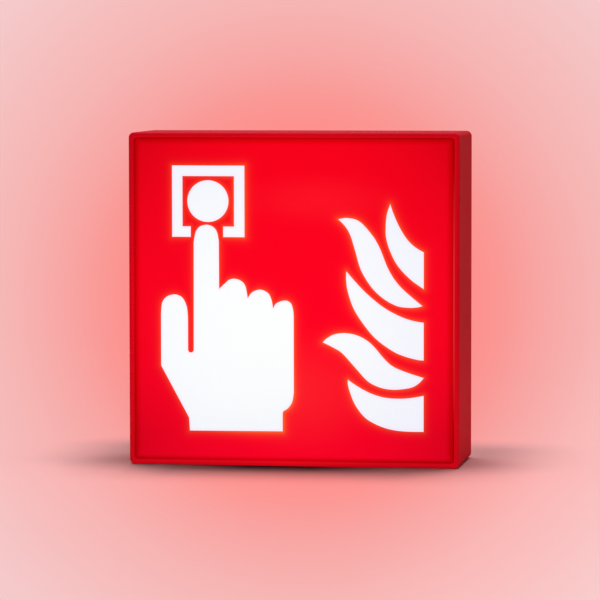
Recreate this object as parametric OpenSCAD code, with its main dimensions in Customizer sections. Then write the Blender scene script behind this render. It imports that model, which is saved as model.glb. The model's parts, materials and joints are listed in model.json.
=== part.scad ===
// Internally lit fire alarm call point sign: a square red light box with a white
// hand, call point and flames in its face, control gear and a standby battery behind.
// Pieces are drawn lying on their backs (x across, y up the face, z towards the
// viewer, z = 0 at half depth) and stand() turns them upright: face to -Y, +Z up.

/* [Box] */
// Width of the sign
sign_w = 200; // [190:5:260]
// Height of the sign
sign_h = 200; // [190:5:260]
// Depth from the front rim to the rear edge
sign_d = 66; // [62:1:90]
// Thickness of the housing's walls, which is also the width of the front rim
wall = 3; // [2.8:0.1:4]
// Radius of the box's four corners, seen from the front
corner_r = 3.2; // [2.4:0.1:6]
// Radius of the four corners inside the box
inner_r = 2; // [1.4:0.1:4]
// Rounding of the box's outer edge round the front rim
rim_outer_r = 1.3; // [0.6:0.1:1.5]
// Rounding of the rim's inner edge
rim_inner_r = 1.1; // [0.4:0.1:1.2]
// Rounding of the box's outer edge at the back
rear_edge_r = 0.8; // [0.4:0.1:1.2]
// Width of the ledge that carries the face
ledge_w = 6; // [5:0.5:9]
// Thickness of that ledge
ledge_t = 3; // [2:0.5:4]

/* [Face] */
// How far the rim stands in front of the face panel
rim_proud = 0.8; // [0.4:0.1:2]
// Open groove between the rim and the face panel
panel_gap = 0.3; // [0.2:0.1:1]
// Thickness of the red face panel and of the figures let into it
panel_t = 3; // [2.5:0.1:4]
// Rounding of the face panel's front edge
panel_edge_r = 1.3; // [0.3:0.1:1.6]
// Thickness of the opal diffuser sheet behind the face
diffuser_t = 2; // [1.5:0.1:3]
// Thickness of the bonding tape between the diffuser and the ledge
tape_t = 1; // [0.6:0.1:1.6]
// Width of the bonding tape
tape_w = 4; // [3:0.5:5]

/* [Light engine] */
// From the window's edge to the middle of the outermost LEDs
led_edge = 31; // [28:0.5:33]
// Board beyond the outermost LEDs
led_margin = 10; // [8:1:12]
// Thickness of the LED board
led_board_t = 1.6; // [1:0.1:2]
// Width of the square LED packages
led_size = 3; // [2:0.1:3.5]
// Thickness of the LED packages
led_t = 0.8; // [0.5:0.1:1.2]
// Radius of the lens over each LED
lens_r = 5; // [4.2:0.1:6]
// Height of the lens
lens_h = 4.4; // [3.4:0.1:6]
// Thickness of the reflector
reflector_t = 1.2; // [0.8:0.1:2]
// Slope of the reflector's walls, as the distance they run in
reflector_run = 9; // [6:1:10]

/* [Control gear] */
// Depth of the gear room, from the gear tray's back to the wall plate
gear_d = 25.8; // [25:0.2:30]
// Thickness of the steel gear tray
tray_t = 1.2; // [1:0.1:2]
// Gap between the gear tray's edges and the housing
tray_gap = 0.8; // [0.5:0.1:1.5]
// Radius of the posts that carry the gear tray
post_r = 4.5; // [4:0.1:5]
// Width of the driver board
driver_w = 82; // [80:1:84]
// Height of the driver board
driver_h = 62; // [60:1:70]
// Bottom edge of the driver board above the sign's base
driver_y = 64; // [62:1:70]
// Space between the driver board and the left wall
driver_side = 8; // [7.5:0.1:10]
// Thickness of the driver board
driver_t = 1.6; // [1:0.1:2]
// Height of the standoffs under the driver board
standoff_h = 6; // [4:0.5:7]
// Radius of an AA battery cell
cell_r = 7.1; // [6:0.1:7.2]
// Length of a battery cell
cell_l = 50; // [44:0.5:52]
// Number of battery cells
cell_count = 3; // [2:1:3]
// Thickness of the battery holder's walls and floor
holder_t = 1.6; // [1.2:0.1:2]

/* [Test button and lamp] */
// Height of the test button above the bottom edge of the driver board
button_up = 48; // [44:1:49]
// Radius of the test button's face
button_r = 4; // [3:0.1:5]
// Clearance round the test button in the wall
button_gap = 0.15; // [0.1:0.05:0.3]
// How far the test button travels
button_travel = 1.5; // [1:0.1:2]
// Height of the status lamp above the bottom edge of the driver board
lamp_up = 28; // [24:1:34]
// Radius of the status lamp's light pipe
lamp_r = 2.5; // [2:0.1:3]

/* [Wall plate] */
// Thickness of the wall plate
plate_t = 2; // [1.5:0.1:2.5]
// How far the wall plate lies inside the housing's rear edge
plate_recess = 2; // [1.5:0.1:3]
// Gap between the wall plate's edges and the housing
plate_gap = 0.3; // [0.2:0.05:0.5]
// Distance across between the wall screw holes
wall_hole_dx = 120; // [100:5:130]
// Distance up between the wall screw holes
wall_hole_dy = 120; // [100:5:130]
// Radius of the wall screw holes
wall_hole_r = 2.25; // [2:0.05:3]
// Radius of the knockout for the cable grommet
entry_r = 10; // [8:0.5:10.5]
// Radius of the cable's way through the grommet
entry_bore_r = 4; // [3:0.25:5]

/* [Fixings] */
// Radius of the M3 screws
screw_r = 1.5; // [1.2:0.1:1.6]
// Radius of the heads of the M3 screws
screw_head_r = 2.75; // [2.5:0.05:2.8]
// Height of those heads
screw_head_h = 1.6; // [1.2:0.1:1.8]
// Clearance round a screw in its hole
screw_gap = 0.1; // [0.05:0.05:0.2]
// Radius of the M4 screws that hold the housing on the wall plate
case_screw_r = 2; // [1.75:0.05:2.2]

/* [Hidden] */

$fn = 48;
over = 1;          // how far a cut runs past what it cuts
facets = 32;       // for the children of a hull

// Depths, from the front rim (z = front_z) to the rear edge (z = back_z)
front_z = sign_d / 2;
back_z = -sign_d / 2;
panel_z = front_z - rim_proud;
diffuser_z = panel_z - panel_t;
tape_z = diffuser_z - diffuser_t;
ledge_z = tape_z - tape_t;
ledge_back_z = ledge_z - ledge_t;
plate_back_z = back_z + plate_recess;
plate_z = plate_back_z + plate_t;
tray_back_z = plate_z + gear_d;
tray_z = tray_back_z + tray_t;
reflector_z = tray_z + reflector_t;
board_z = tray_back_z - standoff_h;
board_back_z = board_z - driver_t;

// Widths and heights
mid_y = sign_h / 2;
inner_w = sign_w - 2 * wall;
inner_h = sign_h - 2 * wall;
panel_w = inner_w - 2 * panel_gap;
panel_h = inner_h - 2 * panel_gap;
panel_r = inner_r - panel_gap;
window_w = inner_w - 2 * ledge_w;
window_h = inner_h - 2 * ledge_w;
window_r = 3;
figure_scale = min(sign_w, sign_h) / 200;

// Corner posts and what passes them
post_merge = 0.5;
post_x = inner_w / 2 - post_r + post_merge;
post_y = inner_h / 2 - post_r + post_merge;
post_hole_depth = 12;
tray_screw_l = 8;

// Light engine
led_rows = 5;
led_pitch = (min(window_w, window_h) - 2 * led_edge) / (led_rows - 1);
led_span = led_pitch * (led_rows - 1);
led_board_w = led_span + 2 * led_margin;
led_board_z = reflector_z + led_board_t;
flange_lap = 2;
reflector_r = 16;
led_screw_x = led_pitch * (led_rows - 2) / 2;
led_screw_l = led_board_t + reflector_t + tray_t + 2;
wire_x = -1.5 * led_pitch;
wire_hole_y = mid_y - led_board_w / 2 - 5;
wire_hole_r = 3.4;
ring_wall = 0.8;
ring_lip_t = 1;
ring_lip_w = 0.9;
led_plug = [9, 6, 4.4];
led_plug_y = mid_y - led_board_w / 2 + led_plug.y / 2 + 1;
board_corner_r = 2;
lens_base = 0.6;
lens_cavity_r = lens_r - 2;
skin = 0.01;       // thickness of the two ends that a hull is stretched between

// Driver board and what stands on it
driver_x = -inner_w / 2 + driver_side;
button_y = driver_y + button_up;
lamp_y = driver_y + lamp_up;
standoff_inset = 4;
standoff_r = 2.8;
switch_size = [8, 7, 7];
switch_x = driver_x + 1;
switch_well_d = 1;
switch_z = board_back_z - switch_size.z / 2;
core = [26, 11, 15];
core_limb = 4;
core_window = (core.x - 4 * core_limb) / 2;
core_pos = [driver_x + 60, driver_y + 36];
bobbin_play = 0.3;
bobbin_r = 3;
choke_pos = [driver_x + 26, driver_y + 14];
choke_r = 6;
choke_ring_r = 3.5;
capacitor_sizes = [[5, 15], [4, 11.5], [4, 11.5]];
capacitor_places = [[42, 12], [42, 36], [42, 47]];
crimp_r = 0.5;
crimp_drop = 2;
plug = [10, 6, 8];
plug_lead = 2;     // from a plug's middle to each of its two leads
plug_depth = 4;
plug_wire_z = board_back_z - plug.z / 2;
mains_plug_x = driver_x + 62;
led_plug_x = driver_x + 37;
battery_plug_y = driver_y + 44;
mode_size = [12, 5.6, 5];
mode_pos = [driver_x + 30, driver_y + driver_h - 6];
mode_travel = 2;
mode_slot_d = 2;
mode_nub_w = 2.4;
mode_nub_out = 1.8;
mode_gap = 0.15;

// Test button, from the outside of the left wall inwards
button_face_x = -sign_w / 2 + 0.2;
button_bevel = 0.4;
button_dish_r = button_r - 1;
button_dish_d = 0.5;
hole_bevel = 0.6;
collar_x = -inner_w / 2 + 0.2;
collar_t = 1.2;
collar_r = button_r + 1.2;
stem_r = 1.4;
stem_end_x = switch_x - button_travel - 0.3;
spring_wire_r = 0.3;
spring_r = 2.6;
spring_turns = 4;
spring_steps = 20;
lamp_end_x = driver_x - 0.3;
lamp_flange_t = 1;
lamp_flange_r = lamp_r + 1;
lamp_led_w = 5;
lamp_led_dome = 2;

// Battery, terminal block and cable entry
cell_pitch = 2 * cell_r + 0.8;
cell_x = 46;
holder_y = 68;
holder_w = cell_pitch * cell_count + 2 * holder_t;
contact_t = 0.5;
contact_l = 1.5;
holder_h = cell_l + 2 * (contact_t + contact_l + holder_t);
holder_wall_h = 11;
cell_z = tray_back_z - holder_t - cell_r;
cell_nub_r = 2.7;
cell_nub_h = 1;
contact_w = 9;
contact_r = 2.2;
battery_wire_y = [battery_plug_y - plug_lead, battery_plug_y + plug_lead];
battery_wire_z = tray_back_z - 5;
battery_wire_in = holder_t * 0.75;
strap_w = 10;
strap_t = 1;
strap_gap = 0.2;
strap_foot = 7;
strap_side = holder_w / 2 + strap_gap;
strap_top = cell_z - cell_r - strap_gap;
terminal = [30, 18, 14];
terminal_pos = [wire_x + 29, 33];
terminal_ear = [6, 10, 4];
terminal_pitch = 9;
terminal_hole_r = 1.2;
terminal_hole_z = tray_back_z - 5;
terminal_well_r = 2.4;
terminal_well_d = 6;
terminal_screw_r = 2.2;
terminal_screw_h = 3;
terminal_top_y = terminal_pos.y + terminal.y / 2;
terminal_back_z = tray_back_z - terminal.z;
earth_pos = [terminal_pos.x + 30, terminal_pos.y];
tag_t = 0.8;
tag_r = 3.2;
tag_l = 8;
tag_barrel_r = 1.3;
tag_barrel_l = 3;
tag_wire_in = 2;
entry_pos = [terminal_pos.x + 24, 50];
entry_flange_w = 2;
entry_flange_t = 2;
slot_w = 0.6;

// Wires
wire_r = 0.7;
wire_gap = 0.05;
wire_sides = 8;
wire_steps = 5;    // straight pieces from one point of a wire to the next
any_direction = [0.3, 0.5, 0.8];   // along no wire and no spring
led_wire_z = led_board_z + led_plug.z / 2;

// Wall plate, hooked on the housing's top ribs and screwed through its base
rib_x = 60;
rib_w = 16;
rib_h = 3;
rib_t = 2;
rib_back_z = plate_z + 6;
hook_t = 2;
hook_gap = 0.4;
hook_arm = 3;
lug = [14, 9, 10];   // a hook is as wide as a lug
lug_gap = 0.2;
case_screw_l = 10;
case_head_r = case_screw_r * 1.9;
case_head_h = case_screw_r;
seal_t = 1.4;
seal_w = 5;
seal_inset = 2;
seal_r = 2;
seal_z = plate_back_z - seal_t;

// ---------------------------------------------------------------- helpers

module stand() rotate([90, 0, 0]) children();

module rounded_rect(w, h, r) {
    square([w - 2 * r, h], center = true);
    square([w, h - 2 * r], center = true);
    for (x = [-1, 1], y = [-1, 1])
        translate([x * (w / 2 - r), y * (h / 2 - r)]) circle(r);
}

// A plate with round corners, in the middle of the sign, from z0 up to z1
module slab(w, h, r, z0, z1)
    translate([0, mid_y, z0]) linear_extrude(z1 - z0) rounded_rect(w, h, r);

// What rounding off a corner at the origin takes away; the solid is to its lower left
module rounding(e) difference() {
    translate([-e, -e]) square(e + over);
    translate([-e, -e]) circle(e);
}

// Cuts the rounding e off the top edge of a plate (out = 1), or of an opening (out = -1)
module round_top_edge(w, h, r, e, out = 1)
    translate([0, mid_y, 0]) for (turn = [0 : 3]) {
        across = turn % 2 == 0 ? w : h;
        along = turn % 2 == 0 ? h : w;
        rotate(90 * turn) translate([across / 2 - r, along / 2 - r, 0]) {
            translate([r, 0, 0]) rotate([90, 0, 0]) linear_extrude(along - 2 * r)
                scale_x(out) rounding(e);
            rotate_extrude(angle = 90) translate([r, 0]) scale_x(out) rounding(e);
        }
    }

module scale_x(out) if (out > 0) children(); else mirror([1, 0]) children();

module at_corners(x, y, cx = 0, cy = 0)
    for (i = [-1, 1], j = [-1, 1]) translate([cx + i * x, cy + j * y, 0]) children();

// A box centred on x and y that runs from z1 down to z1 - size.z
module block(size, x, y, z1)
    translate([x - size.x / 2, y - size.y / 2, z1 - size.z]) cube(size);

// A pan-head screw whose head rests on z = 0 and whose shank points to +z
module screw(length, r = screw_r, head_r = screw_head_r, head_h = screw_head_h) difference() {
    union() {
        cylinder(length, r = r);
        translate([0, 0, -head_h]) cylinder(head_h, r = head_r);
    }
    for (a = [0, 90]) rotate(a) translate([-head_r * 0.6, -slot_w / 2, -head_h - over])
        cube([head_r * 1.2, slot_w, over + head_h * 0.6]);
}

// ---------------------------------------------------------------- figure outlines
// All in the plane of the face, in 200ths of its side, from the middle of its base.

// Points along a smooth curve that passes through every point of p, without the last one
function curve(p, steps = 6) = [
    for (i = [0 : len(p) - 2], k = [0 : steps - 1])
        spline(p[max(i - 1, 0)], p[i], p[i + 1], p[min(i + 2, len(p) - 1)], k / steps)
];
function spline(a, b, c, d, t) =
    (2 * b + (c - a) * t + (2 * a - 5 * b + 4 * c - d) * t ^ 2
        + (3 * b - a - 3 * c + d) * t ^ 3) / 2;
function arc(centre, r, from, to, steps = 8) = [
    for (k = [0 : steps]) let (a = from + (to - from) * k / steps) centre + r * [cos(a), sin(a)]
];

// Wrist, thumb, the slot beside it, pointing finger, three knuckles and the palm's edge
hand_outline = concat(
    [[-63, 20.7], [-63.5, 28.5], [-80.5, 59.8]],
    curve([[-80.5, 91], [-79.8, 97.5], [-77, 101.3], [-72, 102.7], [-67.5, 100.8], [-64.8, 95.5],
        [-64, 88]]),
    arc([-62.3, 69.5], 1.75, 180, 360),
    curve([[-60.4, 134], [-59.2, 140.3], [-56.6, 143.6], [-52.7, 144.7], [-48.8, 143.6], [-46.2, 140.3],
        [-45, 134]]),
    curve([[-45, 106.2], [-41.5, 109.5], [-38.8, 111.8], [-35.5, 112.4], [-31.7, 111.2], [-29, 108],
        [-27.6, 100.8]]),
    curve([[-27.6, 100.8], [-25, 104.3], [-20, 106], [-15.3, 104], [-13.2, 100], [-12.2, 94.9]]),
    curve([[-12.2, 94.9], [-10, 98], [-5, 99.6], [-1.5, 98], [0, 93.5], [0.3, 88]]),
    curve([[0.3, 44.5], [-0.7, 38.8], [-3.2, 35], [-6.3, 33]]),
    [[-6.5, 32], [-6.5, 21]]
);

// The call point's frame, open at the bottom between two feet
frame_left = -73.5;
frame_right = -29.5;
frame_top = 180.2;
frame_bottom = 137.4;
frame_stroke = 6.3;
foot_left = -62.2;
foot_right = -42.4;
call_point_outline = [
    [frame_left, frame_bottom], [frame_left, frame_top], [frame_right, frame_top],
    [frame_right, frame_bottom], [foot_right, frame_bottom], [foot_right, frame_bottom + frame_stroke],
    [frame_right - frame_stroke, frame_bottom + frame_stroke],
    [frame_right - frame_stroke, frame_top - frame_stroke],
    [frame_left + frame_stroke, frame_top - frame_stroke],
    [frame_left + frame_stroke, frame_bottom + frame_stroke],
    [foot_left, frame_bottom + frame_stroke], [foot_left, frame_bottom]
];
button_centre = [-51.7, 158.9];
button_figure_r = 12.5;

// Five flames. Three of them end in a straight edge on the right
flame_tip_outline = concat(
    curve([[58.5, 157.5], [56.5, 151.5], [55.8, 144], [56.1, 137.5], [58.4, 129.7], [63, 121],
        [70.5, 113], [78.6, 107.2]]),
    curve([[78.6, 107.2], [78.6, 129]], 1),
    curve([[78.6, 129], [72.9, 132.5], [68, 137.5], [63.5, 145], [60.4, 152], [58.5, 157.5]])
);
flame_upper_outline = concat(
    curve([[27.3, 148.5], [33, 149.2], [40, 147.2], [47.3, 139.5], [52.1, 131.6], [57.7, 118.2],
        [64.8, 108.2], [77.8, 97]]),
    curve([[77.8, 97], [74.5, 96.2], [69, 96], [62.5, 97], [55, 100.9], [47.6, 107.6], [41, 118.1],
        [37.5, 129.6], [34.5, 139], [31.5, 144.2], [27.3, 148.5]])
);
flame_middle_outline = concat(
    curve([[32.2, 117.3], [37.5, 111.2], [45, 103.6], [55, 95.7], [65, 90.5], [72.5, 88.1], [78.6, 87.1]]),
    curve([[78.6, 87.1], [78.6, 64.6]], 1),
    curve([[78.6, 64.6], [75, 64.9], [67.5, 66.8], [60, 70], [50, 77.1], [42.5, 85.8], [36.5, 95.2],
        [33, 105.4], [32, 112.5], [32.2, 117.5]])
);
flame_lower_outline = concat(
    curve([[17.9, 74.8], [20.5, 77.3], [25.2, 79.7], [32, 80.4], [40, 78.6], [47.3, 73.9], [55, 65.2],
        [60, 60.9], [67.5, 57.6], [78.6, 54.1]]),
    curve([[78.6, 54.1], [76.3, 51.4], [72.5, 48.8], [67.5, 47.5], [60, 46.9], [52.5, 48.1], [45, 51.8],
        [37.5, 59.8], [30, 68], [25, 71.3], [17.9, 74.8]])
);
flame_base_outline = concat(
    curve([[33, 52.5], [40, 47.9], [47.5, 44.2], [55, 42.1], [62.5, 41.5], [70, 41.9], [78.6, 43.4]]),
    curve([[78.6, 43.4], [78.6, 21.9]], 1),
    curve([[78.6, 21.9], [70, 21.9], [62.5, 22.4], [55, 24], [47.5, 27.2], [42.5, 30.8], [37.5, 37.4],
        [34.5, 44.4], [33.1, 49.5], [33, 52.5]])
);
figure_outlines = [
    hand_outline, call_point_outline, flame_tip_outline, flame_upper_outline,
    flame_middle_outline, flame_lower_outline, flame_base_outline
];

// Puts a figure drawn in 200ths on the face, with its grid's middle on the face's middle
module on_face() translate([0, mid_y]) scale(figure_scale) translate([0, -100]) children();
module button_shape() on_face() translate(button_centre) circle(button_figure_r);
module figure_shapes() {
    on_face() for (outline = figure_outlines) polygon(outline);
    button_shape();
}

// One opal figure, as thick as the panel that it is let into
module figure(outline) color("white") stand() translate([0, 0, diffuser_z])
    linear_extrude(panel_t) on_face() polygon(outline);

// ---------------------------------------------------------------- box and face

module housing() color("firebrick") stand() difference() {
    union() {
        difference() {
            slab(sign_w, sign_h, corner_r, back_z, front_z);
            slab(inner_w, inner_h, inner_r, ledge_z, front_z + over);
            slab(inner_w, inner_h, inner_r, back_z - over, ledge_back_z);
            slab(window_w, window_h, window_r, ledge_back_z - over, ledge_z + over);
            translate([0, 0, front_z]) {
                round_top_edge(sign_w, sign_h, corner_r, rim_outer_r);
                round_top_edge(inner_w, inner_h, inner_r, rim_inner_r, -1);
            }
            translate([0, 0, back_z]) mirror([0, 0, 1])
                round_top_edge(sign_w, sign_h, corner_r, rear_edge_r);
        }
        at_corners(post_x, post_y, cy = mid_y) translate([0, 0, tray_z])
            cylinder(ledge_back_z - tray_z, r = post_r);
        for (x = [-rib_x, rib_x])
            translate([x - rib_w / 2, sign_h - wall - rib_h, rib_back_z])
                cube([rib_w, rib_h + over, rib_t]);
    }
    at_corners(post_x, post_y, cy = mid_y) translate([0, 0, tray_z - over])
        cylinder(post_hole_depth + over, r = screw_r + screw_gap);
    left_wall_hole(button_y, button_r + button_gap);
    left_wall_hole(lamp_y, lamp_r + button_gap);
    for (x = [-rib_x, rib_x]) case_screw_way(x);
}

// A hole through the left wall at the switch's depth, bevelled at its outer end
module left_wall_hole(y, r) translate([-sign_w / 2, y, switch_z]) rotate([0, 90, 0]) {
    translate([0, 0, -over]) cylinder(wall + 2 * over, r = r);
    translate([0, 0, -over]) cylinder(hole_bevel + over, r1 = r + hole_bevel + over, r2 = r);
}

// Countersunk hole through the base for one of the screws into the wall plate's lugs
module case_screw_way(x) translate([x, 0, plate_z + lug.z / 2]) rotate([-90, 0, 0]) {
    translate([0, 0, -over]) cylinder(wall + 2 * over, r = case_screw_r + screw_gap);
    translate([0, 0, -over]) cylinder(over, r = case_head_r + screw_gap);
    cylinder(case_head_h, r1 = case_head_r + screw_gap, r2 = case_screw_r + screw_gap);
}

module face_panel() color("red") stand() difference() {
    slab(panel_w, panel_h, panel_r, diffuser_z, panel_z);
    translate([0, 0, panel_z]) round_top_edge(panel_w, panel_h, panel_r, panel_edge_r);
    translate([0, 0, diffuser_z - over]) linear_extrude(panel_t + 2 * over) figure_shapes();
}

module hand_figure() figure(hand_outline);
module call_point_figure() figure(call_point_outline);
module button_figure() color("white") stand() translate([0, 0, diffuser_z])
    linear_extrude(panel_t) button_shape();
module flame_tip_figure() figure(flame_tip_outline);
module flame_upper_figure() figure(flame_upper_outline);
module flame_middle_figure() figure(flame_middle_outline);
module flame_lower_figure() figure(flame_lower_outline);
module flame_base_figure() figure(flame_base_outline);

module diffuser_sheet() color("ghostwhite") stand()
    slab(panel_w, panel_h, panel_r, tape_z, diffuser_z);

module bonding_tape() color("dimgray") stand() difference() {
    slab(panel_w, panel_h, panel_r, ledge_z, tape_z);
    slab(panel_w - 2 * tape_w, panel_h - 2 * tape_w, panel_r, ledge_z - over, tape_z + over);
}

// ---------------------------------------------------------------- light engine

// A block with sloping sides: w by h at z1, narrower by run on every side at z0
module funnel(w, h, r, run, z0, z1) hull() {
    slab(w, h, r, z1 - skin, z1, $fn = facets);
    slab(w - 2 * run, h - 2 * run, r, z0, z0 + skin, $fn = facets);
}

module reflector() color("white") stand() difference() {
    union() {
        slab(window_w + 2 * flange_lap, window_h + 2 * flange_lap, reflector_r,
            ledge_back_z - reflector_t, ledge_back_z);
        funnel(window_w, window_h, reflector_r, reflector_run, tray_z, ledge_back_z);
    }
    funnel(window_w - 2 * reflector_t, window_h - 2 * reflector_t, reflector_r - reflector_t,
        reflector_run, reflector_z, ledge_back_z + 2 * skin);
    led_screw_places() translate([0, 0, tray_z - over])
        cylinder(reflector_t + 2 * over, r = screw_r + screw_gap);
    translate([wire_x, wire_hole_y, tray_z - over])
        cylinder(reflector_t + 2 * over, r = wire_hole_r);
}

module led_places() for (i = [0 : led_rows - 1], j = [0 : led_rows - 1])
    translate([i * led_pitch - led_span / 2, mid_y + j * led_pitch - led_span / 2, led_board_z])
        children();

module led_screw_places() at_corners(led_screw_x, led_screw_x, cy = mid_y) children();

module led_board() color("whitesmoke") stand() difference() {
    slab(led_board_w, led_board_w, board_corner_r, reflector_z, led_board_z);
    led_screw_places() translate([0, 0, reflector_z - over])
        cylinder(led_board_t + 2 * over, r = screw_r + screw_gap);
}

module led_packages() color("gold") stand() led_places()
    translate([-led_size / 2, -led_size / 2, 0]) cube([led_size, led_size, led_t]);

// A hollow dome that spreads the light of the LED under it
module lens() difference() {
    rotate_extrude() intersection() {
        translate([0, lens_h - lens_r]) circle(lens_r);
        square([lens_r, lens_h]);
    }
    translate([0, 0, -over]) cylinder(over + led_t + lens_base, r = lens_cavity_r);
}

module led_lenses() color("lightcyan") stand() led_places() lens();

module led_connector() color("ivory") stand() difference() {
    block(led_plug, wire_x, led_plug_y, led_board_z + led_plug.z);
    for (s = [-1, 1]) translate([wire_x + s * plug_lead, led_plug_y - led_plug.y / 2 - over, led_wire_z])
        rotate([-90, 0, 0]) cylinder(plug_depth + over, r = wire_r + wire_gap);
}

module led_board_screws() color("silver") stand() led_screw_places()
    translate([0, 0, led_board_z]) mirror([0, 0, 1]) screw(led_screw_l);

// ---------------------------------------------------------------- gear tray

module gear_tray() color("silver") stand() difference() {
    slab(inner_w - 2 * tray_gap, inner_h - 2 * tray_gap, inner_r, tray_back_z, tray_z);
    at_corners(post_x, post_y, cy = mid_y) through_tray(screw_r + screw_gap);
    led_screw_places() through_tray(screw_r + screw_gap);
    standoff_places() through_tray(screw_r + screw_gap);
    holder_screw_places() through_tray(screw_r + screw_gap);
    strap_screw_places() through_tray(screw_r + screw_gap);
    terminal_ears() through_tray(screw_r + screw_gap);
    earth_place() through_tray(screw_r + screw_gap);
    translate([wire_x, wire_hole_y, 0]) through_tray(wire_hole_r);
    for (x = [-rib_x, rib_x])
        translate([x - rib_w / 2 - over, sign_h - wall - rib_h - over, tray_back_z - over])
            cube([rib_w + 2 * over, rib_h + 2 * over, tray_t + 2 * over]);
}

// A hole through the gear tray and what lies on its back, up to a depth of below
module through_tray(r, below = 0)
    translate([0, 0, tray_back_z - below - over]) cylinder(tray_t + below + 2 * over, r = r);

module gear_tray_screws() color("silver") stand() at_corners(post_x, post_y, cy = mid_y)
    translate([0, 0, tray_back_z]) screw(tray_screw_l);

// Rubber ring in the hole where the LED wires pass the tray and the reflector
module tray_grommet() color("black") stand() translate([wire_x, wire_hole_y, 0]) difference() {
    length = reflector_z - tray_back_z + 2 * ring_lip_t;
    union() {
        translate([0, 0, tray_back_z - ring_lip_t]) {
            cylinder(length, r = wire_hole_r);
            cylinder(ring_lip_t, r = wire_hole_r + ring_lip_w);
        }
        translate([0, 0, reflector_z]) cylinder(ring_lip_t, r = wire_hole_r + ring_lip_w);
    }
    translate([0, 0, tray_back_z - ring_lip_t - over])
        cylinder(length + 2 * over, r = wire_hole_r - ring_wall);
}

module earth_place() translate([earth_pos.x, earth_pos.y, 0]) children();

module earth_screw() color("gold") stand() earth_place()
    translate([0, 0, tray_back_z - tag_t]) screw(tag_t + tray_t);

// Ring tag under the earth screw, with a barrel that takes the earth wire
module earth_tag() color("silver") stand() earth_place() translate([0, 0, tray_back_z - tag_t])
    difference() {
        union() {
            cylinder(tag_t, r = tag_r);
            translate([-tag_barrel_r, 0, 0]) cube([2 * tag_barrel_r, tag_l - 1, tag_t]);
            translate([0, tag_l - tag_barrel_l, tag_t - tag_barrel_r]) rotate([-90, 0, 0])
                cylinder(tag_barrel_l, r = tag_barrel_r);
        }
        translate([0, 0, -over]) cylinder(tag_t + 2 * over, r = screw_r + screw_gap);
        translate([0, tag_l - tag_wire_in, tag_t - tag_barrel_r]) rotate([-90, 0, 0])
            cylinder(tag_wire_in + over, r = wire_r + wire_gap);
    }

// ---------------------------------------------------------------- driver board

module standoff_places() for (x = [standoff_inset, driver_w - standoff_inset],
        y = [standoff_inset, driver_h - standoff_inset])
    translate([driver_x + x, driver_y + y, 0]) children();

module driver_board() color("darkgreen") stand() difference() {
    translate([driver_x, driver_y, board_back_z]) cube([driver_w, driver_h, driver_t]);
    standoff_places() translate([0, 0, board_back_z - over])
        cylinder(driver_t + 2 * over, r = screw_r + screw_gap);
}

module driver_standoffs() color("goldenrod") stand() standoff_places() difference() {
    translate([0, 0, board_z]) cylinder(standoff_h, r = standoff_r, $fn = 6);
    translate([0, 0, board_z - over]) cylinder(standoff_h + 2 * over, r = screw_r + screw_gap);
}

module driver_screws() color("silver") stand() standoff_places()
    translate([0, 0, board_back_z]) screw(driver_t + standoff_h + tray_t);

// Two E-shaped halves, closed into a frame with a middle limb, standing on the board
module transformer_core() color("dimgray") stand() difference() {
    block(core, core_pos.x, core_pos.y, board_back_z);
    for (s = [-1, 1]) block([core_window, core.y + 2 * over, core.z - 2 * core_limb],
        core_pos.x + s * (core_limb + core_window / 2), core_pos.y, board_back_z - core_limb);
}
// The bobbin's winding, wrapped round the middle limb inside both windows
module transformer_winding() color("orange") stand() {
    height = core.z - 2 * (core_limb + bobbin_play);
    translate([core_pos.x, core_pos.y, board_back_z - core_limb - bobbin_play - height])
        linear_extrude(height) difference() {
            rounded_rect(2 * (core_limb + core_window - bobbin_play), core.y + 2 * core_window, bobbin_r);
            square([2 * (core_limb + bobbin_play), core.y + 2 * bobbin_play], center = true);
        }
}

module capacitors() color("navy") stand() for (i = [0 : len(capacitor_sizes) - 1]) {
    r = capacitor_sizes[i][0];
    h = capacitor_sizes[i][1];
    translate([driver_x + capacitor_places[i].x, driver_y + capacitor_places[i].y, board_back_z - h])
        rotate_extrude() difference() {
            square([r, h]);
            translate([r, h - crimp_drop]) circle(crimp_r);
        }
}

module filter_choke() color("peru") stand()
    translate([choke_pos.x, choke_pos.y, board_back_z - choke_ring_r])
        rotate_extrude() translate([choke_r, 0]) circle(choke_ring_r);

// Pin headers: mains and LED leads on the bottom edge, battery lead on the right edge
module driver_connectors() color("ivory") stand() {
    for (x = [mains_plug_x, led_plug_x]) difference() {
        block(plug, x, driver_y + plug.y / 2, board_back_z);
        for (s = [-1, 1]) translate([x + s * plug_lead, driver_y - over, plug_wire_z])
            rotate([-90, 0, 0]) cylinder(plug_depth + over, r = wire_r + wire_gap);
    }
    difference() {
        block([plug.y, plug.x, plug.z], driver_x + driver_w - plug.y / 2, battery_plug_y, board_back_z);
        for (y = battery_wire_y) translate([driver_x + driver_w + over, y, plug_wire_z])
            rotate([0, -90, 0]) cylinder(plug_depth + over, r = wire_r + wire_gap);
    }
}

// ---------------------------------------------------------------- lamp, button and mode switch

// A rod with a bevelled front edge
module rod(from, to, r) translate([0, 0, from]) {
    cylinder(button_bevel, r1 = r - button_bevel, r2 = r);
    translate([0, 0, button_bevel]) cylinder(to - from - button_bevel, r = r);
}

module status_light_pipe() color("limegreen") stand()
    translate([0, lamp_y, switch_z]) rotate([0, 90, 0]) {
        rod(button_face_x, lamp_end_x, lamp_r);
        translate([0, 0, -inner_w / 2]) cylinder(lamp_flange_t, r = lamp_flange_r);
    }

// A right-angle LED: its block stands on the board and its dome looks into the light pipe
module status_led() color("palegreen") stand() {
    block([lamp_led_w, lamp_led_w, switch_size.z], driver_x + lamp_led_dome + lamp_led_w / 2,
        lamp_y, board_back_z);
    translate([driver_x + lamp_led_dome, lamp_y, switch_z]) rotate([0, -90, 0])
        cylinder(lamp_led_dome, r1 = lamp_r - 0.4, r2 = lamp_r - 1);
}

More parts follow.
